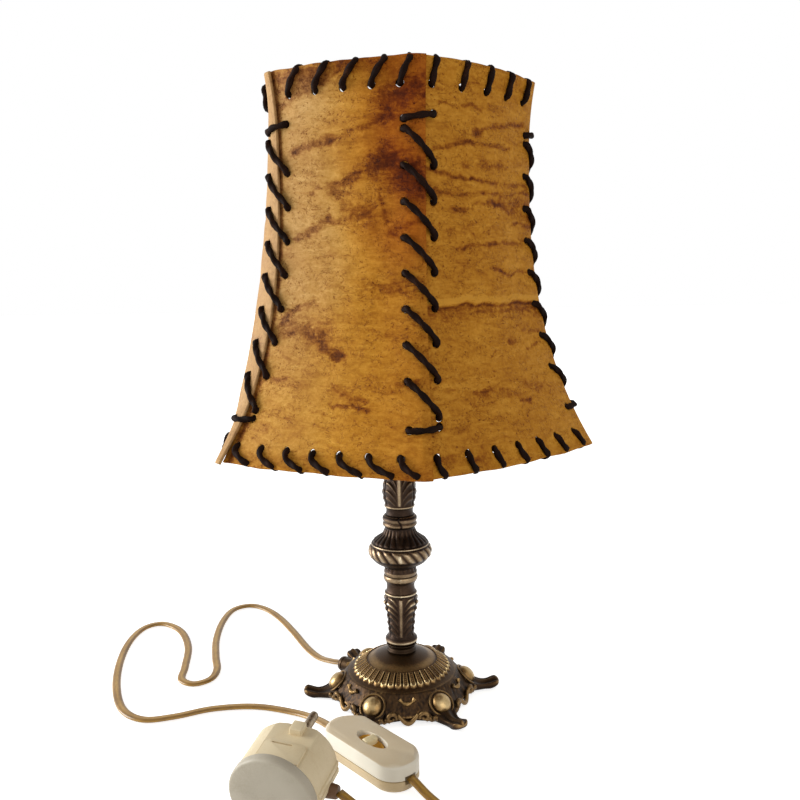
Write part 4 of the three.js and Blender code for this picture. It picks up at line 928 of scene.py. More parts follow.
def stained(side, lines, share, up):
    """How brown the hide is at a place, from its stains."""
    x = 100.0 * share
    wave_x = 4.0 * rough(x, up, side * 40.0, 22.0) + 1.6 * rough(x, up, side * 17.0, 6.0)
    wave_y = 3.0 * rough(x, up, side * 40.0 + 90.0, 20.0) + 1.5 * rough(x, up, side * 17.0 + 60.0, 5.0)
    clear = 1.0
    for x0, y0, x1, y1, breadth, depth in lines:
        if min(y0, y1) - 14.0 < up < max(y0, y1) + 14.0:
            grain = 1.0 + 0.5 * rough(x, up, breadth * 30.0, 7.0)
            near = along_line(x + wave_x, up + wave_y, x0, y0, x1, y1, breadth)
            clear *= 1.0 - min(depth * grain * near, 0.95)
    return 1.0 - clear


def fold_gap(share, up):
    """Millimetres above the fold of the right-hand panel."""
    x = share * 100.0
    return up - FOLD_LEVEL - 1.6 * rough(x, 3.0, 8.0, 14.0) - 0.7 * rough(x, 9.0, 2.0, 4.0)


def tones(side, share, up):
    """How deep an amber and how light the hide is at a place: partly its own tone and partly painted light,
    paler where the window light falls and deeper where light glows through the hide, with less paleness
    along the top and bottom edges.
    """
    level = up / SHADE_HEIGHT
    drift = 0.12 * rough(share * 100.0, up, side * 9.0, 30.0)
    rim = max(ease(0.94, 1.0, level), ease(0.06, 0.0, level))
    # Painted light on the front-left panel: paler at its left where the window light falls, deeper at its
    # right where light glows through.
    if side == 0:
        orange_tone_and_painted_glow = 1.25 * ease(0.42, 0.98, share + drift) * mix(0.4, 1.0, ease(0.42, 0.62, level))
        pale_tone_and_painted_light = ease(0.75, 0.15, share + drift) * mix(0.35, 1.0, ease(0.1, 0.5, level))
    # Painted light on the far-left panel, paler toward its right edge, which faces the window.
    elif side == PANELS - 1:
        orange_tone_and_painted_glow = 0.25 * ease(0.8, 0.1, share + drift)
        pale_tone_and_painted_light = 2.0 * ease(0.15, 0.85, share + drift)
    elif side == 1:
        orange_tone_and_painted_glow = 0.32
        pale_tone_and_painted_light = 0.02
    else:
        orange_tone_and_painted_glow = 0.18 + 0.6 * ease(0.85, 1.0, share + drift)
        pale_tone_and_painted_light = 0.12
    return orange_tone_and_painted_glow + 0.35 * rim * (side == 0), max(pale_tone_and_painted_light - 0.3 * rim, 0.0)


def hide_panel(side):
    lines = stain_lines(side)

    def place(u, v):
        z = SHADE_FOOT + SHADE_HEIGHT * v
        up = SHADE_HEIGHT * v
        chord = side_arc(side, z)[2]
        run = mix(0.7, chord + OVERLAP, u)
        share = min(run / chord, 1.0)
        past = max(run - chord, 0.0)
        swell = 0.7 * rough(share * 3.0, v * 5.0, side * 11.0, 1.0)
        swell += 0.25 * rough(share * 10, v * 18, side, 1.0)
        if side != 0:
            swell -= 0.55 * stained(side, lines, share, up) * ease(90.0, 110.0, up)
        if side == 1:
            gap = fold_gap(share, up)
            swell += 1.0 * bell(gap, 1.8, 1.7) - 0.8 * bell(gap, -1.2, 1.3)
        swell *= ease(0.0, 0.12, share) * (1.0 - ease(0.86, 0.98, share))
        if side == PANELS - 1:
            swell += 2.2 * ease(0.86, 1.0, share) * ease(0.16, 0.0, v)
        point = hide_point(side, share, z, swell, past)
        edge = ease(0.94, 1.0, v) + ease(0.94, 1.0, 1.0 - v)
        return point + UP * (edge * 0.7 * rough(share * 7.0, v, side * 5.0, 1.0))

    panel = gridded("hide_panel_%d" % (side + 1), HIDE_COLUMNS, HIDE_ROWS, place, close=False)
    applied(panel, "SOLIDIFY", thickness=THICKNESS, offset=0.0)
    punches = []
    for share, z in hole_places(side):
        middle = hide_point(side, share, z)
        out = (hide_point(side, share, z, 1.0) - middle).normalized()
        begin()
        bpy.ops.mesh.primitive_cylinder_add(vertices=12, radius=HOLE_RADIUS, depth=8.0, location=middle,
                                            rotation=out.to_track_quat("Z", "Y").to_euler())
        punches.append(bpy.context.object)
    punch = joined("punch", punches)
    applied(panel, "BOOLEAN", object=punch, operation="DIFFERENCE", solver="MANIFOLD")
    bpy.data.objects.remove(punch)
    mesh = panel.data
    # The points keep the stains with the painted shadow and highlight, and the tone with the painted light.
    layers = [mesh.attributes.new(name, "FLOAT", "POINT").data for name in ("stain_and_painted_light", "orange_tone_and_painted_glow", "pale_tone_and_painted_light")]
    for i, vertex in enumerate(mesh.vertices):
        point = vertex.co
        turn = math.atan2(point.y, point.x) - side_middle(side, point.z)
        turn = (turn + math.pi) % TAU - math.pi
        share = 0.5 + turn / (2.0 * half_side(side, point.z))
        up = point.z - SHADE_FOOT
        stain_and_painted_light = stained(side, lines, share, up)
        if side == 1:
            gap = fold_gap(share, up)
            # Painted shadow under the fold of the right-hand panel, and a painted highlight above it.
            shadow = max(0.9 * bell(gap, -0.9, 1.4), 0.55 * bell(gap, -2.0, 7.0) * (gap < 0.0))
            stain_and_painted_light = max(stain_and_painted_light, shadow) - 0.75 * bell(gap, 2.0, 1.7)
        # Painted shadow along the lap, cast by the edge of the overlapping panel, darkest on the front-left
        # panel.
        lap = (0.85 if side == 0 else 0.3) * bell(share, 0.045, 0.022)
        layers[0][i].value = max(stain_and_painted_light, lap) if stain_and_painted_light > -0.05 else stain_and_painted_light
        layers[1][i].value, layers[2][i].value = tones(side, share, up)
    moved(panel, LAMP_FRAME)
    return dressed(panel, "shade", "rawhide", HIDE, "shade_panel_%d" % (side + 1))


for side in range(PANELS):
    hide_panel(side)


# Lacing of two-ply twine

WIRE_RADIUS = 1.5
WIRE_IN = THICKNESS / 2 + 0.3 + WIRE_RADIUS
RIB_RADIUS = 1.25
RIB_IN = THICKNESS / 2 + 0.3 + RIB_RADIUS
WIRE_BELOW_EDGE = 2.5
TOP_WIRE = SHADE_TOP - WIRE_BELOW_EDGE
BOTTOM_WIRE = SHADE_FOOT + WIRE_BELOW_EDGE
PLY_TURN = TAU / 17.0  # twist for each millimetre
PLY_SPREAD = 0.15


def two_ply():
    """Two round plies side by side, as one outline."""
    ring = []
    for i in range(14):
        turn = TAU * i / 14
        reach = LACE_RADIUS * (1.0 - PLY_SPREAD / 2.0 + PLY_SPREAD * math.cos(2.0 * turn))
        ring.append((reach * math.cos(turn), reach * math.sin(turn)))
    return ring


def rim_lace(edge, count, slant, hole):
    """Over and over the rim: out of a hole, over the edge, down behind the wire and on to the next hole."""
    up = math.copysign(1.0, edge - hole)
    behind = WIRE_IN + WIRE_RADIUS + LACE_RADIUS + 0.3
    path = []
    for side in range(PANELS):
        for i in range(rim_stitches(side, count)):
            share = rim_share(i, count, slant, side, hole)
            lean = RIM_LEANS[side] if i < count - 1 else min(1.0, RIM_LEANS[side])
            step = as_share(slant * lean, side, edge)
            sway = 0.25 * step * rough(i * 3.1, side * 5.7, edge, 1.0)

            def at(run, z, off):
                return hide_point(side, share + (step + sway) * run, z, off)

            def over(run, z, off):
                point = side_point(side, share + (step + sway) * run, edge - up * WIRE_BELOW_EDGE, off)
                return Vector((point.x, point.y, z))

            path.append(at(0.0, hole, -LACE_OUT))
            path.append(at(0.03, hole + up * 0.5, LACE_OUT * 0.75))
            path.append(at(0.15, hole + up * 3.0, LACE_OUT))
            path.append(at(0.55, mix(hole, edge, 0.6), LACE_OUT))
            path.append(over(0.92, edge - up * 1.9, LACE_OUT * 0.95))
            path.append(over(0.98, edge - up * 0.5, -0.2))
            path.append(over(1.0, edge - up * 0.8, -WIRE_IN))
            path.append(over(1.05, edge - up * 3.0, -behind))
            path.append(over(1.2, mix(edge, hole, 0.45), -behind))
    first = rim_share(0, count, slant, 0, hole)
    path.insert(0, hide_point(0, first + as_share(LACE_TAIL, 0, hole), hole, -LACE_OUT))
    return path


def seam_lace(side):
    """Slanting stitches down a seam, with one straight stitch at each end."""
    following = (side + 1) % PANELS
    deep = LACE_OUT + 0.9

    def left(z, off):
        return hide_point(side, left_share(side, z), z, off)

    def right(z, off):
        return hide_point(following, right_share(following, z), z, off)

    def across(start, end):
        """From the left hole to the right one, close over the lap and steeper towards the right."""
        def fall(run):
            return mix(start, end, 0.75 * run + 0.25 * run**3)

        points = [left(start, LACE_OUT * 0.85)]
        for run in (0.12, 0.3):
            share = run * (SEAM_HOLE_BEFORE + SEAM_HOLE_AFTER) / SEAM_HOLE_BEFORE
            z = fall(run)
            points.append(hide_point(side, mix(left_share(side, z), 1.0, share), z, LACE_OUT))
        points.append(hide_point(side, 1.0, fall(0.6), LACE_OUT - 0.2, OVERLAP * 0.65))
        points.append(right(fall(0.93), LACE_OUT))
        points.append(right(end, LACE_OUT * 0.8))
        return points

    def tail(z):
        share = right_share(following, z) + as_share(LACE_TAIL, following, z)
        return hide_point(following, share, z, -deep)

    path = [tail(SEAM_START), right(SEAM_START, -deep)]
    path += across(SEAM_START - START_TILT, SEAM_START)[::-1]
    path.append(left(SEAM_START - START_TILT, -deep))
    starts = seam_levels[:-1] + [SEAM_END - END_TILT]
    ends = seam_levels[1:] + [SEAM_END]
    for start, end in zip(starts, ends):
        path.append(left(start, -deep))
        path += across(start, end)
        path.append(right(end, -deep))
    path.append(tail(SEAM_END))
    return path


def lacing(name, path):
    lace = swept(name, spaced(path, 1.2), two_ply(), twist=PLY_TURN)
    moved(lace, LAMP_FRAME)
    return dressed(lace, "shade", "lace", LACE, name.replace("twine", "lacing"))


lacing("top_twine", rim_lace(SHADE_TOP, *TOP_RIM))
lacing("bottom_twine", rim_lace(SHADE_FOOT, *BOTTOM_RIM))
for side in range(PANELS):
    lacing("seam_twine_%d" % (side + 1), seam_lace(side))


# Wire frame of the shade

FITTER_HEIGHT = 204.05
FITTER_BORE = 14.2
FITTER_EDGE = 21.2


def frame_wire(name, path, radius, *nodes, closed=False):
    wire = swept(name, path, round_section(radius), closed=closed)
    moved(wire, LAMP_FRAME)
    return dressed(wire, "shade", "steel", STEEL, *nodes)


for name, height in (("top_wire", TOP_WIRE), ("bottom_wire", BOTTOM_WIRE)):
    ring = [side_point(side, i / 14, height, -WIRE_IN) for side in range(PANELS) for i in range(14)]
    frame_wire(name + "_round", ring, WIRE_RADIUS, name, closed=True)
for side in range(PANELS):
    heights = [mix(BOTTOM_WIRE + 1.8, TOP_WIRE - 1.8, i / 30) for i in range(31)]
    frame_wire("rib_wire_%d" % (side + 1), [side_point(side, 1.0, z, -RIB_IN) for z in heights], RIB_RADIUS,
               "shade_rib_%d" % (side + 1))
    far = side_point(side, 1.0, FITTER_HEIGHT, -RIB_IN)
    reach = math.hypot(far.x, far.y)
    out = Vector((far.x / reach, far.y / reach, 0.0))
    end = reach - RIB_RADIUS - 0.5
    arm = [out * mix(FITTER_EDGE + 0.2, end, i / 8) + UP * FITTER_HEIGHT for i in range(9)]
    frame_wire("arm_wire_%d" % (side + 1), arm, WIRE_RADIUS, "fitter_arm_%d" % (side + 1))


def turned_piece(name, profile, body, slot, material, *nodes, steps=64):
    piece = moved(turned(name, profile, steps), LAMP_FRAME)
    return dressed(piece, body, slot, material, *nodes)


washer_outline = [(FITTER_BORE, 203.5), (FITTER_BORE + 0.3, 203.3), (FITTER_EDGE - 0.3, 203.3),
                  (FITTER_EDGE, 203.6), (FITTER_EDGE, 204.5), (FITTER_EDGE - 0.3, 204.8),
                  (FITTER_BORE + 0.3, 204.8), (FITTER_BORE, 204.6), (FITTER_BORE, 203.5)]
turned_piece("fitter_washer", washer_outline, "shade", "steel", STEEL, "fitter_ring")


# Lampholder, shade ring and bulb

ROD_CLEAR = 5.3
KNURLS = 96


def threaded(radius, depth, low, high, turns):
    """An outline with rounded screw ridges between two heights."""
    count = turns * 4
    return [(radius - depth * (0.5 - 0.5 * math.cos(TAU * turns * i / count)), mix(low, high, i / count))
            for i in range(count + 1)]


base_outline = [(ROD_CLEAR, 163.3), (12.0, 163.3), (13.1, 164.4), (13.7, 166.3)]
base_outline += [(13.7 - 0.25 * (i % 2), 167.0 + i) for i in range(8)]
base_outline += [(13.7, 176.0), (11.8, 176.0), (11.8, 166.3), (ROD_CLEAR, 166.3), (ROD_CLEAR, 163.3)]
turned_piece("holder_base", base_outline, "lamp", "holder_plastic", HOLDER, "holder_cap")
sleeve_outline = [(11.8, 176.3), (13.4, 176.3), (13.7, 176.7), (13.7, 200.8), (17.6, 200.8), (18.0, 201.2),
                  (18.0, 202.6), (17.6, 203.0), (13.7, 203.0)]
sleeve_outline += threaded(13.7, 0.5, 204.5, 224.0, 8) + [(13.4, 226.0), (11.8, 226.0), (11.8, 176.3)]
turned_piece("holder_sleeve", sleeve_outline, "lamp", "holder_plastic", HOLDER, "holder_body")
socket_outline = [(7.3, 200.6)] + threaded(8.0, 0.5, 201.0, 218.0, 6) + [(7.9, 218.6), (7.3, 218.6)]
socket_outline += threaded(7.5, 0.3, 218.0, 201.0, 6) + [(7.3, 200.6)]
turned_piece("screw_socket", socket_outline, "lamp", "brass_sheet", BRASS, "screw_shell")


def ring_knurl():
    outline = [(14.0, 205.1), (19.2, 205.1), (19.5, 205.5), (19.5, 206.9), (19.2, 207.3), (17.5, 207.4),
               (17.5, 211.5), (17.1, 212.1), (14.0, 212.1), (14.0, 205.1)]
    ring = turned("ring_knurl", outline, KNURLS)
    for vertex in ring.data.vertices:
        reach = math.hypot(vertex.co.x, vertex.co.y)
        if reach > 18.0:
            knurl = 0.3 * (round(math.atan2(vertex.co.y, vertex.co.x) / TAU * KNURLS) % 2)
            vertex.co.xy *= (reach - knurl) / reach
    moved(ring, LAMP_FRAME)
    return dressed(ring, "shade_ring", "holder_plastic", HOLDER, "shade_ring")


ring_knurl()
cap_outline = [(0.0, 202.4), (2.4, 202.4), (3.4, 203.2), (5.6, 204.6)]
cap_outline += threaded(6.9, 0.45, 205.4, 217.4, 5) + [(6.9, 219.2), (0.0, 219.3)]
turned_piece("bulb_screw", cap_outline, "bulb", "steel", STEEL, "bulb_cap")
bulb_outline = drawn([Vector((r, z, 0.0)) for r, z in (
    (6.5, 219.7), (6.7, 223.0), (8.0, 227.5), (12.5, 236.0), (18.0, 244.0), (21.6, 251.5), (22.4, 259.5),
    (20.4, 268.5), (15.0, 276.0), (7.6, 280.0), (0.0, 280.7))], 40)
bulb_outside = [(max(p.x, 0.0), p.y) for p in bulb_outline]
bulb_inside = [(max(r - 0.8, 0.0), z if r > 1.0 else z - 0.8) for r, z in bulb_outside[::-1]]
turned_piece("bulb_envelope", bulb_outside + bulb_inside + [bulb_outside[0]], "bulb", "bulb_glass", GLASS,
             "bulb_glass", steps=48)


# Carved column: each piece with its height, and its outline in shares of that height and radii

COLUMN = [
    ("spool_collar", 4.9, [
        (0, 9.4), (0.08, 9.75), (0.2, 9.7), (0.5, 8.7), (0.8, 9.3), (0.92, 9.7), (1, 9.6),
    ]),
    ("stem_lower", 32.0, [
        (0, 9), (0.03, 10.0), (0.06, 10.3), (0.1, 10.0), (0.14, 8.9), (0.2, 8), (0.4, 8.7),
        (0.56, 8.9), (0.74, 10.2), (0.86, 10.7), (0.95, 10.2), (1, 9.8),
    ]),
    ("stem_ring", 12.8, [
        (0, 9.9), (0.04, 10.3), (0.1, 10.2), (0.15, 9.4), (0.3, 8.9), (0.45, 8.8), (0.6, 9.2),
        (0.68, 9.9), (0.76, 10.6), (0.88, 10.9), (0.96, 10.6), (1, 10.2),
    ]),
    ("knop", 20.9, [
        (0, 10.2), (0.08, 10.5), (0.16, 9.9), (0.24, 9.9), (0.28, 11.2), (0.33, 12.8), (0.42, 16.0),
        (0.58, 18.7), (0.7, 19.5), (0.82, 19.3), (0.9, 18.3), (0.93, 17.9), (0.96, 18.3), (1, 17.8),
    ]),
    ("stem_neck", 17.7, [
        (0, 17.4), (0.07, 16.4), (0.17, 13.9), (0.28, 11.2), (0.4, 9.9), (0.52, 9.4), (0.57, 9.8),
        (0.62, 10.7), (0.68, 10.8), (0.74, 10.2), (0.79, 10.6), (0.85, 10.9), (0.92, 10.6), (1, 9.2),
    ]),
    ("stem_upper", 43.9, [
        (0, 8.7), (0.05, 8.4), (0.09, 8.7), (0.11, 9.5), (0.13, 9.5), (0.15, 9.3), (0.29, 10.5),
        (0.4, 10.2), (0.53, 9.2), (0.73, 8.3), (0.8, 8.5), (0.84, 9.6), (0.9, 10.4), (1, 11.8),
    ]),
]
COLUMN_FOOT = 29.0
SEAT = 0.3


def front_turn(point):
    """Degrees round the column from the front, right positive."""
    return math.degrees(math.atan2(point.x, -point.y))


LEAVES = 3
BARBS = 6.0
LOBES = 20.0
CUP_FLUTES = 20.0
NECK_FLUTES = 24.0


def leaf(turn, share, low, high):
    """Relief of upright leaves round a stem: a wide midrib and barbs that curve outwards to thick tips."""
    width = 360.0 / LEAVES
    across = abs(((turn + width / 2) % width) / width * 2.0 - 1.0)
    climb = (share - low) / (high - low)
    zone = ease(0.0, 0.05, climb) * (1.0 - ease(0.96, 1.0, climb))
    rib = bell(across, 0.0, 0.1)
    gap = ease(0.88, 0.98, across)
    body = ease(0.13, 0.22, across) * (1.0 - ease(0.86, 0.95, across))
    bold = ease(0.3, 0.95, climb) * ease(0.2, 0.65, across)
    arch = 0.34 * (1.0 - (1.0 - min(across / 0.8, 1.0)) ** 2)
    barb = (0.5 + 0.5 * math.cos(TAU * BARBS * (climb - arch))) ** mix(2.6, 1.1, bold)
    height = rib * 0.9 + (barb - 0.35) * body * mix(0.55, 1.25, bold) - gap * 0.6
    bright = rib * 0.8 + barb * body * mix(0.35, 1.0, bold) - gap * 0.25
    return height * zone, bright * zone


def column_relief(name, turn, share):
    """Height in millimetres and brightness of the carving of a column piece."""
    seam = bell(turn, 0.0, 2.4)
    if name == "stem_lower":
        height, bright = leaf(turn, share, 0.15, 0.99)
        return height, 0.14 + mix(0.5, 0.8, share) * bright + 0.7 * bell(share, 0.062, 0.028)
    if name == "stem_upper":
        height, bright = leaf(turn, share, 0.13, 0.8)
        return height, 0.16 + 0.75 * bright + 0.6 * bell(share, 0.118, 0.012)
    if name == "stem_ring":
        band = ease(0.72, 0.8, share) * 0.36 * (1.0 - ease(0.95, 1.0, share))
        return 0.15 * seam, 0.3 + 0.6 * bell(share, 0.06, 0.045) + band + 0.1 * seam
    if name == "knop":
        band = ease(0.54, 0.6, share) * (1.0 - ease(0.88, 0.92, share))
        lobe = abs(math.cos(math.pi * (LOBES * turn / 360.0 + 2.5 * (share - 0.7))))
        cup = bell(share, 0.22, 0.08)
        flute = abs(math.cos(math.pi * CUP_FLUTES * turn / 360.0)) ** 0.7
        height = band * (1.3 * lobe**0.6 - 0.7 + 0.6 * seam) + cup * 0.6 * (flute - 0.5)
        lines = 0.7 * bell(share, 0.965, 0.022) + 0.4 * bell(share, 0.46, 0.025)
        lines += 0.45 * (1.0 - ease(0.08, 0.13, share))
        return height, 0.1 + band * (0.62 * lobe**0.8 + 0.3 * seam) + 0.2 * cup * flute + lines
    if name == "stem_neck":
        zone = ease(0.0, 0.06, share) * (1.0 - ease(0.44, 0.52, share))
        bend = turn - math.copysign(9.0 * ease(0.0, 0.4, share), turn)
        flute = abs(math.cos(math.pi * NECK_FLUTES * bend / 360.0))
        rings = 0.46 * ease(0.57, 0.63, share) * (1.0 - ease(0.86, 0.92, share))
        rings -= 0.3 * bell(share, 0.745, 0.02)
        rings += 0.5 * bell(share, 0.97, 0.02)
        crack = bell(turn - 5.0 * math.sin(share * 12.0), 0.0, 3.0) * ease(0.5, 0.56, share)
        return zone * (flute**0.5 - 0.7) - 0.6 * crack, 0.07 + zone * flute**3 * 0.3 + rings - 0.5 * crack
    return 0.0, 0.25


def column_piece(name, low, height, shares):
    line = drawn([Vector((r, s * height, 0.0)) for s, r in shares], max(int(height / 0.3), 26))
    outside = [(p.x, low + p.y) for p in line]
    profile = [(ROD_CLEAR, low)] + outside + [(ROD_CLEAR, low + height), (ROD_CLEAR, low)]

    def carve(point):
        reach = math.hypot(point.x, point.y)
        if reach <= ROD_CLEAR + 0.5:
            return 0.0
        relief, bright = column_relief(name, front_turn(point), (point.z - low) / height)
        point.xy *= (reach + relief) / reach
        return bright

    stem = worn(turned(name + "_carved", profile, 200, 60.0), carve)
    moved(stem, LAMP_FRAME)
    dark = name == "spool_collar"
    return dressed(stem, "lamp", "dark_bronze" if dark else "bronze", COLLAR if dark else BRONZE, name)


level = COLUMN_FOOT
for name, height, shares in COLUMN:
    column_piece(name, level + SEAT, height, shares)
    level += SEAT + height


# Base casting with petals, bosses, scrolls and six feet

FOOT_TURN = 4.5
FEET = 6
FOOT_STEP = 360.0 / FEET
PETALS = 40
# Radii of the dome, the petals, the plain band and the rim, and the heights where three of them end
DOME = 22.0
PETAL = 31.0
BAND = 35.0
RIM = 46.0
DOME_LEVEL = 23.2
PETAL_LEVEL = 17.2
BAND_LEVEL = 15.8


def sector(turn):
    """Degrees from the nearest foot, negative before it."""
    return (turn - FOOT_TURN + FOOT_STEP / 2) % FOOT_STEP - FOOT_STEP / 2


def toward_foot(turn):
    return 0.5 + 0.5 * math.cos(math.radians(FEET * sector(turn)))


def rim_radius(turn):
    return 42.3 + 5.2 * toward_foot(turn) ** 1.6


def rim_height(turn):
    return 2.5 - 1.6 * toward_foot(turn)


def skirt_fall(share):
    return mix(share, share**1.3, 0.4)


def skirt_height(share, turn):
    low = rim_height(turn) + 2.0
    return BAND_LEVEL - (BAND_LEVEL - low) * skirt_fall(share)


def top_height(reach):
    """The plain height of the casting's top at a radius, before its carving."""
    if reach < DOME:
        return COLUMN_FOOT - 5.8 * ease(0.25, 1.25, reach / DOME) * 1.12
    if reach < PETAL:
        return mix(DOME_LEVEL, PETAL_LEVEL, (reach - DOME) / (PETAL - DOME))
    if reach < BAND:
        return mix(PETAL_LEVEL, BAND_LEVEL, (reach - PETAL) / (BAND - PETAL))
    return BAND_LEVEL - 11.2 * skirt_fall((reach - BAND) / (RIM - BAND))


def petal_relief(turn, reach):
    phase = (turn / 360.0 * PETALS) % 1.0
    end = 30.9 - 1.9 * abs(2.0 * phase - 1.0) ** 1.6
    zone = ease(DOME + 0.2, DOME + 1.0, reach) * (1.0 - ease(end, end + 0.6, reach))
    lines = bell(phase, 0.2, 0.07) + bell(phase, 0.8, 0.07)
    beads = bell(phase, 0.5, 0.11) * (0.5 + 0.5 * math.cos(TAU * reach / 1.2))
    gap = bell(phase, 0.0, 0.1) + bell(phase, 1.0, 0.1)
    rim = bell(reach, end - 0.3, 0.5)
    height = zone * (0.75 + 0.6 * lines + 0.4 * beads - 0.8 * gap + 0.4 * rim)
    return height, zone * (0.55 * lines + 0.34 * beads + 0.5 * rim - 0.4 * gap)


def base_shell():
    top = [mix(9.0, DOME, i / 16) for i in range(17)]
    top += [mix(DOME + 0.25, PETAL, i / 34) for i in range(35)]
    top += [mix(PETAL + 0.5, BAND, i / 6) for i in range(7)]
    top += [mix(BAND + 0.5, RIM, i / 24) for i in range(25)]
    profile = [(ROD_CLEAR, COLUMN_FOOT)] + [(r, top_height(r)) for r in top]
    under = [(RIM, 3.4), (45.6, 2.6), (44.0, 2.6), (43.0, 3.6), (33.2, 12.6), (29.0, 14.0), (19.0, 21.0),
             (10.5, 25.0), (ROD_CLEAR, 25.0), (ROD_CLEAR, COLUMN_FOOT)]

    def carve(point):
        reach = math.hypot(point.x, point.y)
        turn = math.degrees(math.atan2(point.y, point.x))
        on_top = point.z > top_height(reach) - 0.4
        bright = 0.05
        if reach > BAND:
            share = (reach - BAND) / (RIM - BAND)
            edge = mix(BAND, rim_radius(turn), share)
            if on_top:
                ground = 0.5 * rough(point.x, point.y, 3.0, 1.4) + 0.45 * rough(point.x, point.y, 9.0, 3.4)
                point.z = skirt_height(share, turn) + ground * ease(0.0, 0.15, share)
                bright = 0.2 + 0.5 * ground + 0.32 * ease(0.93, 1.0, share)
            else:
                point.z += (rim_height(turn) - 2.6) * ease(0.5, 0.9, share)
            point.xy *= edge / reach
        elif on_top and reach > DOME:
            height, shine = petal_relief(turn, reach)
            point.z += height
            patchy = 0.85 + 0.5 * rough(point.x, point.y, 5.0, 6.0)
            bright = 0.32 + shine * patchy + 0.1 * bell(reach, BAND - 0.6, 0.8)
        elif on_top:
            bright = 0.24 + 0.3 * bell(reach, DOME - 2.5, 3.2)
        return bright

    return worn(turned("base_shell", profile + under, 480, 60.0), carve)


def polar(turn, reach, height):
    angle = math.radians(turn)
    return Vector((reach * math.cos(angle), reach * math.sin(angle), height))


FOOT_ROOT = 39.0
FOOT_REACH = 24.5


def foot_half(along):
    """Half the breadth of a foot from its root to its round tip."""
    half = mix(9.6, 4.7, ease(0.0, 0.66, along)) + 0.5 * ease(0.6, 0.85, along)
    if along > 0.84:
        half *= math.sqrt(max(1.0 - ((along - 0.84) / 0.16) ** 2, 0.0))
    return half


def foot_form(turn):
    """A flat leaf-shaped foot with ridges along its top and a tip that turns up."""
    def place(u, v):
        crest = mix(9.6, 4.6, ease(0.0, 0.55, v)) + 1.9 * ease(0.6, 0.92, v)
        sole = 2.2 * ease(0.72, 1.0, v)
        middle = (crest + sole) / 2
        rise = (crest - sole) / 2
        if v > 0.9:
            rise *= math.sqrt(max(1.0 - ((v - 0.9) / 0.1) ** 2, 0.0))
        x, y = math.cos(TAU * u), math.sin(TAU * u)
        across = math.copysign(abs(x) ** 0.8, x)
        up = math.copysign(abs(y) ** 0.7, y)
        ridge = 0.75 * math.cos(TAU * across) * max(up, 0.0) * (1.0 - ease(0.9, 1.0, v))
        return Vector((FOOT_ROOT + FOOT_REACH * v, foot_half(v) * across, middle + rise * up + ridge))

    def bright(p):
        along = (p.x - FOOT_ROOT) / FOOT_REACH
        across = p.y / max(foot_half(along), 0.8)
        ridge = 0.5 + 0.5 * math.cos(TAU * across)
        rubbed = 0.36 * ridge * ease(2.5, 5.0, p.z) * ease(0.2, 0.6, along)
        return 0.04 + rubbed + 0.22 * ease(0.85, 1.0, along)

    foot = gridded("foot", 44, 40, place)
    worn(foot, bright)
    return moved(foot, Matrix.Rotation(math.radians(turn), 4, "Z"))


BOSS = 6.2
BOSS_SHARE = 0.55


def boss_form(turn):
    """A polished cabochon in a thin ring, square to the slope of the skirt."""
    begin()
    bpy.ops.mesh.primitive_uv_sphere_add(segments=32, ring_count=16, radius=BOSS, scale=(1.0, 1.0, 0.7))
    dome = worn(settled("dome"), lambda p: 0.45 + 0.3 * ease(0.5, 3.8, p.z))
    begin()
    bpy.ops.mesh.primitive_torus_add(major_radius=BOSS + 1.5, minor_radius=0.7, major_segments=44,
                                     minor_segments=8)
    ring = worn(settled("ring"), 0.46)
    boss = joined("boss", [dome, ring])
    reach = mix(BAND, rim_radius(turn), BOSS_SHARE)
    place = polar(turn, reach, skirt_height(BOSS_SHARE, turn) + 0.3)
    tilt = Matrix.Rotation(math.radians(turn), 4, "Z") @ Matrix.Rotation(math.radians(44.0), 4, "Y")
    return moved(boss, Matrix.Translation(place) @ tilt)


def scroll(points, radii, bright):
    line = drawn(points, 5 * len(points))
    sizes = [p.x for p in drawn([Vector((r, 0.0, 0.0)) for r in radii], len(line))]
    return worn(swept("scroll", line, round_section(1.0, 8), size=sizes), bright)


def rim_ornament(valley):
    """Shell lip, scrolls, edge beads and a crescent between two feet."""
    def at(off, out, height):
        return polar(valley + off, rim_radius(valley + off) + out, height)

    def on_skirt(off, share, lift):
        turn = valley + off
        return polar(turn, mix(BAND, rim_radius(turn), share), skirt_height(share, turn) + lift)

    def lip(off):
        dip = math.cos(math.radians(off * 11))
        return at(off, 0.6 + 0.8 * dip, 7.0 - 5.3 * dip)

    shell_lip = [lip(off) for off in (-8, -6, -3, 0, 3, 6, 8)]
    crescent = [on_skirt(off, 0.5 - 0.2 * (abs(off) / 7.0) ** 2, 0.7)
                for off in (-7, -5.2, -3, 0, 3, 5.2, 7)]
    pieces = [scroll(shell_lip, [0.8, 1.3, 1.55, 1.6, 1.55, 1.3, 0.8], 0.5),
              scroll(crescent, [1.5, 0.8, 1.15, 1.45, 1.15, 0.8, 1.5], 0.6)]
    for hand in (-1, 1):
        curl = []
        for k in range(10):
            angle = math.radians(200.0 - 44.0 * k)
            radius = mix(3.0, 0.9, k / 9)
            curl.append(at(hand * (13.0 + math.degrees(radius * math.cos(angle) / 44.0)), 0.6 + 0.06 * k,
                           5.0 + radius * math.sin(angle)))
        pieces.append(scroll(curl, [0.9, 1.2, 1.4, 1.4, 1.3, 1.15, 1.0, 0.9, 0.8, 0.6], 0.46))
        edge = [at(hand * b, 0.4 + lift * 0.3, 2.4 + lift) for b, lift in
                ((14.5, 0.1), (16.5, 1.8), (18.5, 0.0), (20.5, 2.2), (22.5, 0.5), (24.5, 2.4))]
        pieces.append(scroll(edge, [0.9, 1.35, 1.0, 1.45, 1.1, 1.0], 0.42))
    return pieces


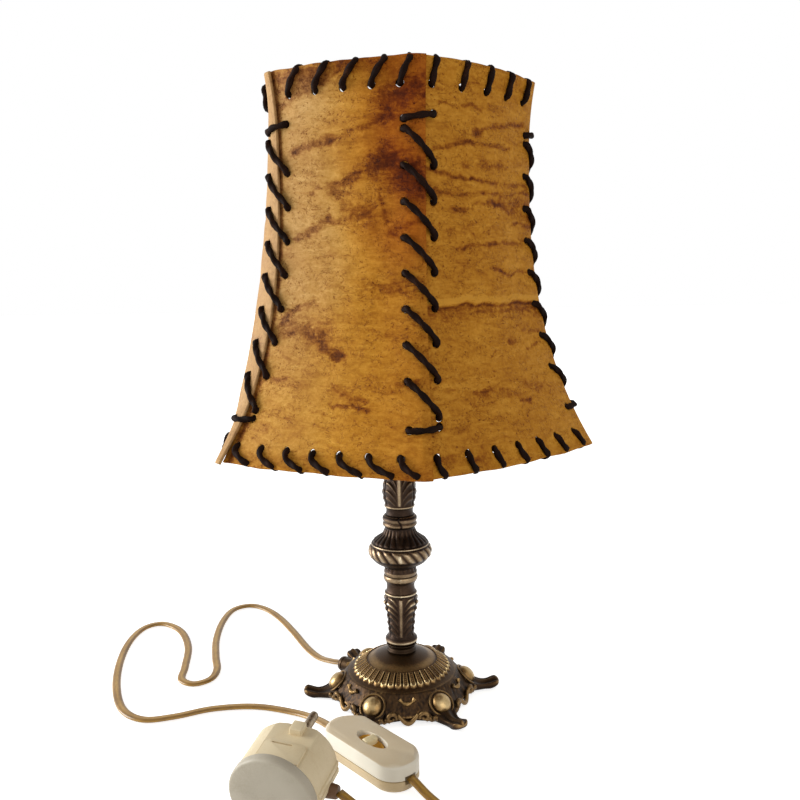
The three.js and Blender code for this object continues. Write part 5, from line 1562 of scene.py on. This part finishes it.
def base_casting():
    forms = [base_shell()]
    for k in range(FEET):
        turn = FOOT_TURN + FOOT_STEP * k
        forms.append(foot_form(turn))
        forms.append(boss_form(turn))
        forms += rim_ornament(turn + FOOT_STEP / 2)
    base = joined("base_carved", forms, 60.0)
    moved(base, LAMP_FRAME)
    return dressed(base, "lamp", "bronze", GILT, "base_casting")


base_casting()


# Cord bush, inner lead and coil tie

BUSH_LENGTH = 13.0
bush_outline = [(3.2, 0.0), (4.6, 0.0), (4.6, 10.0), (5.0, 10.3), (4.9, 11.5), (4.4, 12.7),
                (4.0, BUSH_LENGTH), (3.2, BUSH_LENGTH), (3.2, 0.0)]
bush = turned("bush_moulded", bush_outline, 40)
moved(bush, in_place(0.0, 0.0, BUSH_HEIGHT) @ Matrix.Rotation(BUSH_TURN, 4, "Z")
      @ Matrix.Translation((BUSH_END - BUSH_LENGTH, 0.0, 0.0)) @ ALONG_X)
worn(bush, 0.4)
dressed(bush, "lamp", "holder_plastic", COLLAR, "cord_bush")

lead_line = [along_bush(reach) for reach in (37.7, 24.5, 11.3)]
lead_line += [along_bush(5.2, 7.1), along_bush(1.3, 9.9)]
lead_line += [UP * height for height in (13.5, 60.0, 166.0)]
lead = swept("inner_flex", spaced(lead_line, 3.0), round_section(2.4, 12))
moved(lead, LAMP_FRAME)
dressed(lead, "lamp", "cord", CORD, "inner_lead")

TIE_TURN = math.radians(-60.0)
tie_inner = COIL_RADIUS - COIL_PITCH * coil_turns / 2 - CORD_WIDTH / 2 - 0.6
tie_outer = COIL_RADIUS + CORD_WIDTH / 2 + 0.6
tie_low = 0.4
tie_high = COIL_LIFT + CORD_THICKNESS + COIL_LAYER + 0.6
TIE_BEND = 1.5
tie_corners = [(tie_inner, tie_low + TIE_BEND), (tie_inner, tie_high - TIE_BEND),
               (tie_inner + TIE_BEND, tie_high), (tie_outer - TIE_BEND, tie_high),
               (tie_outer, tie_high - TIE_BEND), (tie_outer, tie_low + TIE_BEND),
               (tie_outer - TIE_BEND, tie_low), (tie_inner + TIE_BEND, tie_low)]
tie_path = [Vector((x * math.cos(TIE_TURN), x * math.sin(TIE_TURN), z)) for x, z in tie_corners]
tie_section = [(1.9, 0.25), (2.0, 0.0), (1.9, -0.25), (-1.9, -0.25), (-2.0, 0.0), (-1.9, 0.25)]
tie = swept("coil_strap", tie_path, tie_section, closed=True)
moved(tie, in_place(*COIL_PLACE, 0.0))
dressed(tie, "lamp", "tie", TIE, "coil_tie")


# In-line switch, in its own frame: X along it

SWITCH_FRAME = in_place(*SWITCH_PLACE, 0.0, turn=SWITCH_TURN)
SWITCH_WIDTH = 26.0
PARTING = 7.4
SWITCH_TOP = 16.8
SWITCH_CORNER = 12.4


def picked(obj, kind, items, test):
    """Edit mode with only the faces or edges selected that pass a test."""
    chosen(obj)
    edit("DESELECT")
    bpy.ops.mesh.select_mode(type=kind)
    object_mode()
    for item in items:
        item.select = test(item)
    bpy.ops.object.mode_set(mode="EDIT")


def slab(name, length, width, low, high, corner):
    """A block with rounded ends, seen from above."""
    begin()
    bpy.ops.mesh.primitive_cube_add(size=1.0, location=(0.0, 0.0, (low + high) / 2),
                                    scale=(length, width, high - low))
    block = settled(name)

    def upright(edge):
        a, b = (block.data.vertices[i].co for i in edge.vertices)
        return abs(a.z - b.z) > 0.5 * (high - low)

    picked(block, "EDGE", block.data.edges, upright)
    bpy.ops.mesh.bevel(offset=corner, segments=12, affect="EDGES")
    return settled(name)


def cut_out(obj, cutter):
    applied(obj, "BOOLEAN", object=cutter, operation="DIFFERENCE", solver="EXACT")
    bpy.data.objects.remove(cutter)
    return obj


def cord_notch():
    return slab("notch", SWITCH_LENGTH + 6.0, 7.2, PARTING - 2.0, PARTING + 2.6, 0.8)


def upper_half():
    """The cover: upright sides with a crisp upper edge, softer at the ends, and a long oval window."""
    shell = slab("switch_cover", SWITCH_LENGTH, SWITCH_WIDTH, PARTING + 0.5, SWITCH_TOP, SWITCH_CORNER)
    picked(shell, "FACE", shell.data.polygons, lambda face: face.normal.z > 0.9)
    bpy.ops.mesh.inset(thickness=1.0)
    bpy.ops.mesh.inset(thickness=1.6)
    object_mode()
    for vertex in shell.data.vertices:
        if vertex.co.z > SWITCH_TOP - 0.1:
            reach = math.hypot(max(abs(vertex.co.x) - 20.1, 0.0), vertex.co.y)
            end = ease(20.0, 31.0, abs(vertex.co.x))
            fall = 1.7 * ease(10.2, 12.9, reach) ** 2 + 0.35 * ease(8.0, 11.6, reach)
            vertex.co.z -= end * fall + 0.25 * ease(11.0, 12.9, reach)
    bevelled(shell, 0.35, 28)
    begin()
    bpy.ops.mesh.primitive_cylinder_add(vertices=64, radius=1.0, depth=10.0, scale=(12.0, 5.0, 1.0),
                                        location=(1.2, 0.0, SWITCH_TOP - 1.0))
    cut_out(shell, settled("window"))
    cut_out(shell, cord_notch())
    shell = joined("switch_cover", [shell], 24.0)
    moved(shell, SWITCH_FRAME)
    return dressed(shell, "lamp", "ivory_plastic", COVER, "switch_upper_shell")


def lower_half():
    shell = slab("switch_tray", SWITCH_LENGTH, SWITCH_WIDTH, 4.6, PARTING, SWITCH_CORNER)
    picked(shell, "FACE", shell.data.polygons, lambda face: face.normal.z < -0.9)
    bpy.ops.mesh.extrude_region_move(TRANSFORM_OT_translate={"value": (0.0, 0.0, -3.0)})
    bpy.ops.transform.resize(value=(0.965, 0.92, 1.0), center_override=(0.0, 0.0, 1.6))
    bpy.ops.mesh.extrude_region_move(TRANSFORM_OT_translate={"value": (0.0, 0.0, -1.3)})
    bpy.ops.transform.resize(value=(0.93, 0.86, 1.0), center_override=(0.0, 0.0, 0.3))
    object_mode()
    for vertex in shell.data.vertices:
        waist = 1.0 - 0.07 * bell(vertex.co.x, 0.0, 15.0) * ease(PARTING, PARTING - 5.0, vertex.co.z)
        vertex.co.y *= waist
    bevelled(shell, 0.6, 25)
    cut_out(shell, cord_notch())
    shell = joined("switch_tray", [shell], 35.0)
    moved(shell, SWITCH_FRAME)
    return dressed(shell, "lamp", "ivory_plastic", BEIGE, "switch_lower_shell")


ROCKER_RISE = 11.6
ROCKER_TILT = Matrix.Translation((0.0, 0.0, ROCKER_RISE)) @ Matrix.Rotation(math.radians(8.0), 4, "Y")


def rocker_forms():
    """Amber rocker with hollowed flanks, and the cream ridge across it."""
    body = slab("rocker_amber", 17.0, 8.4, -2.0, 3.2, 3.8)
    for vertex in body.data.vertices:
        if vertex.co.z > 3.0:
            vertex.co.z -= 0.9 * ease(4.0, 8.5, abs(vertex.co.x))
    picked(body, "FACE", body.data.polygons, lambda face: face.normal.z > 0.8)
    bpy.ops.mesh.inset(thickness=0.7, depth=-0.5)
    object_mode()
    bevelled(body, 0.3, 30)
    body = joined("rocker_amber", [body], 40.0)
    moved(body, SWITCH_FRAME @ ROCKER_TILT)
    dressed(body, "rocker", "amber_plastic", AMBER, "switch_rocker")
    begin()
    bpy.ops.mesh.primitive_cube_add(size=1.0, location=(-1.2, 0.0, 3.1), scale=(6.0, 8.2, 4.2))
    ridge = settled("rocker_ridge")
    for vertex in ridge.data.vertices:
        if vertex.co.z > 3.0:
            vertex.co.x = -1.2 + (vertex.co.x + 1.2) * 0.66
    applied(ridge, "BEVEL", width=0.8, segments=4, limit_method="NONE")
    ridge = joined("rocker_ridge", [ridge], 40.0)
    moved(ridge, SWITCH_FRAME @ ROCKER_TILT)
    dressed(ridge, "rocker", "amber_plastic", CREAM)


upper_half()
lower_half()
rocker_forms()


# Plug on its side, in its own frame: X towards the pins

PLUG_FRAME = LAMP_FRAME @ PLUG_POSE
DRUM_FOOT = 6.3
DRUM_END = 33.3
DRUM_FLAT = 17.0


def plug_cover():
    outline = [(0.0, 0.0), (12.0, 0.02), (21.2, 0.15), (21.9, 0.5), (22.3, 1.2), (22.4, 2.4), (22.4, 4.6),
               (21.9, 5.6), (21.2, 6.0), (0.0, 6.0)]
    cover = turned("plug_disc", outline, 96, 50.0)
    moved(cover, PLUG_FRAME @ Matrix.Translation((0.0, 1.2, 0.0)) @ ALONG_X)
    # The cover's greyed ivory is painted shade.
    return dressed(cover, "lamp", "ivory_plastic", SHADED_DISC, "plug_cover")


def shorn(obj, spot, normal):
    """Cuts away what lies beyond a plane and closes the cut."""
    chosen(obj)
    edit()
    bpy.ops.mesh.bisect(plane_co=spot, plane_no=normal, use_fill=True, clear_outer=True)
    object_mode()


def plug_body():
    """The drum with two flats and a swollen left shoulder, its guide, step and side strips."""
    outline = [(0.0, DRUM_FOOT), (20.1, DRUM_FOOT), (20.4, DRUM_FOOT + 0.4), (20.4, DRUM_END - 2.6),
               (19.7, DRUM_END - 0.8), (18.0, DRUM_END), (0.0, DRUM_END)]
    drum = turned("plug_drum", outline, 96, 30.0)
    moved(drum, ALONG_X)
    for vertex in drum.data.vertices:
        turn = math.degrees(math.atan2(vertex.co.z, vertex.co.y))
        vertex.co.yz *= 1.0 + 0.13 * bell(turn, 27.0, 21.0)
    for normal in (UP, -UP):
        shorn(drum, normal * DRUM_FLAT, normal)
    bevelled(drum, 0.4, 16)
    guide = slab("guide", 7.0, 6.8, 15.5, 20.2, 0.8)
    moved(guide, Matrix.Translation((DRUM_END - 3.8, -1.0, 0.0)))
    bevelled(guide, 0.5, 40)
    step = slab("step", 27.0, 21.6, 16.0, 18.4, 3.4)
    moved(step, Matrix.Translation((DRUM_FOOT, 0.0, 0.0)))
    bevelled(step, 0.4, 40)
    slit = slab("slit", 0.9, 11.0, 17.4, 19.0, 0.3)
    moved(slit, Matrix.Translation((DRUM_FOOT + 11.2, 2.0, 0.0)))
    cut_out(step, slit)
    shorn(step, Vector((DRUM_FOOT, 0.0, 0.0)), Vector((-1.0, 0.0, 0.0)))
    strips = []
    for height in (0.0, 3.9):
        strip = slab("strip", 24.0, 2.6, -3.0 + height, height, 0.6)
        moved(strip, Matrix.Translation((19.5, -19.8, -1.6)))
        strips.append(bevelled(strip, 0.4, 40))
    body = joined("plug_drum", [drum, guide, step] + strips, 28.0)
    moved(body, PLUG_FRAME)
    return dressed(body, "lamp", "ivory_plastic", DRUM, "plug_body")


def plug_sleeve():
    """A brown sleeve through which the cord leaves the plug, put there as painted shadow at the cord's
    exit.
    """
    outline = [(0.0, 13.0), (4.2, 13.0), (3.8, 20.0), (3.4, GLAND_END - 1.0), (3.0, GLAND_END - 0.3),
               (0.0, GLAND_END - 0.3)]
    sleeve = turned("plug_sleeve", outline, 32)
    root = Matrix.Translation((GLAND_ALONG, 0.0, GLAND_LOW))
    moved(sleeve, PLUG_FRAME @ root @ Matrix.Rotation(math.pi / 2, 4, "X"))
    return dressed(sleeve, "lamp", "ivory_plastic", SHADOW_SLEEVE)


def plug_pin(number, hand):
    tip = DRUM_END + 19.0
    root = DRUM_END - 7.0
    outline = [(0.0, root), (2.4, root), (2.4, tip - 2.0), (2.1, tip - 0.8), (1.3, tip - 0.1), (0.0, tip)]
    pin = turned("pin_round_%d" % number, outline, 28)
    moved(pin, PLUG_FRAME @ Matrix.Translation((0.0, 0.0, hand * 9.5)) @ ALONG_X)
    return dressed(pin, "lamp", "steel", PIN, "plug_pin_%d" % number)


plug_cover()
plug_body()
plug_sleeve()
plug_pin(1, 1)
plug_pin(2, -1)

in_row(along_bush(BUSH_END))
measured(switch_line)
[in_row(p) for p in switch_line]
in_row(switch_out)
measured(from_switch)
[in_row(p) for p in from_switch]


# Finishes of the CAD pieces that stay as they are

KEPT = {"rod_washer": STEEL, "rod_nut": STEEL, "threaded_rod": STEEL, "contact_block": PORCELAIN,
        "centre_contact": BRASS, "rocker_pin": STEEL, "switch_screw_1": STEEL, "switch_screw_2": STEEL}
for node, material in KEPT.items():
    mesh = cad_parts[node].data
    mesh.materials.clear()
    mesh.materials.append(material)
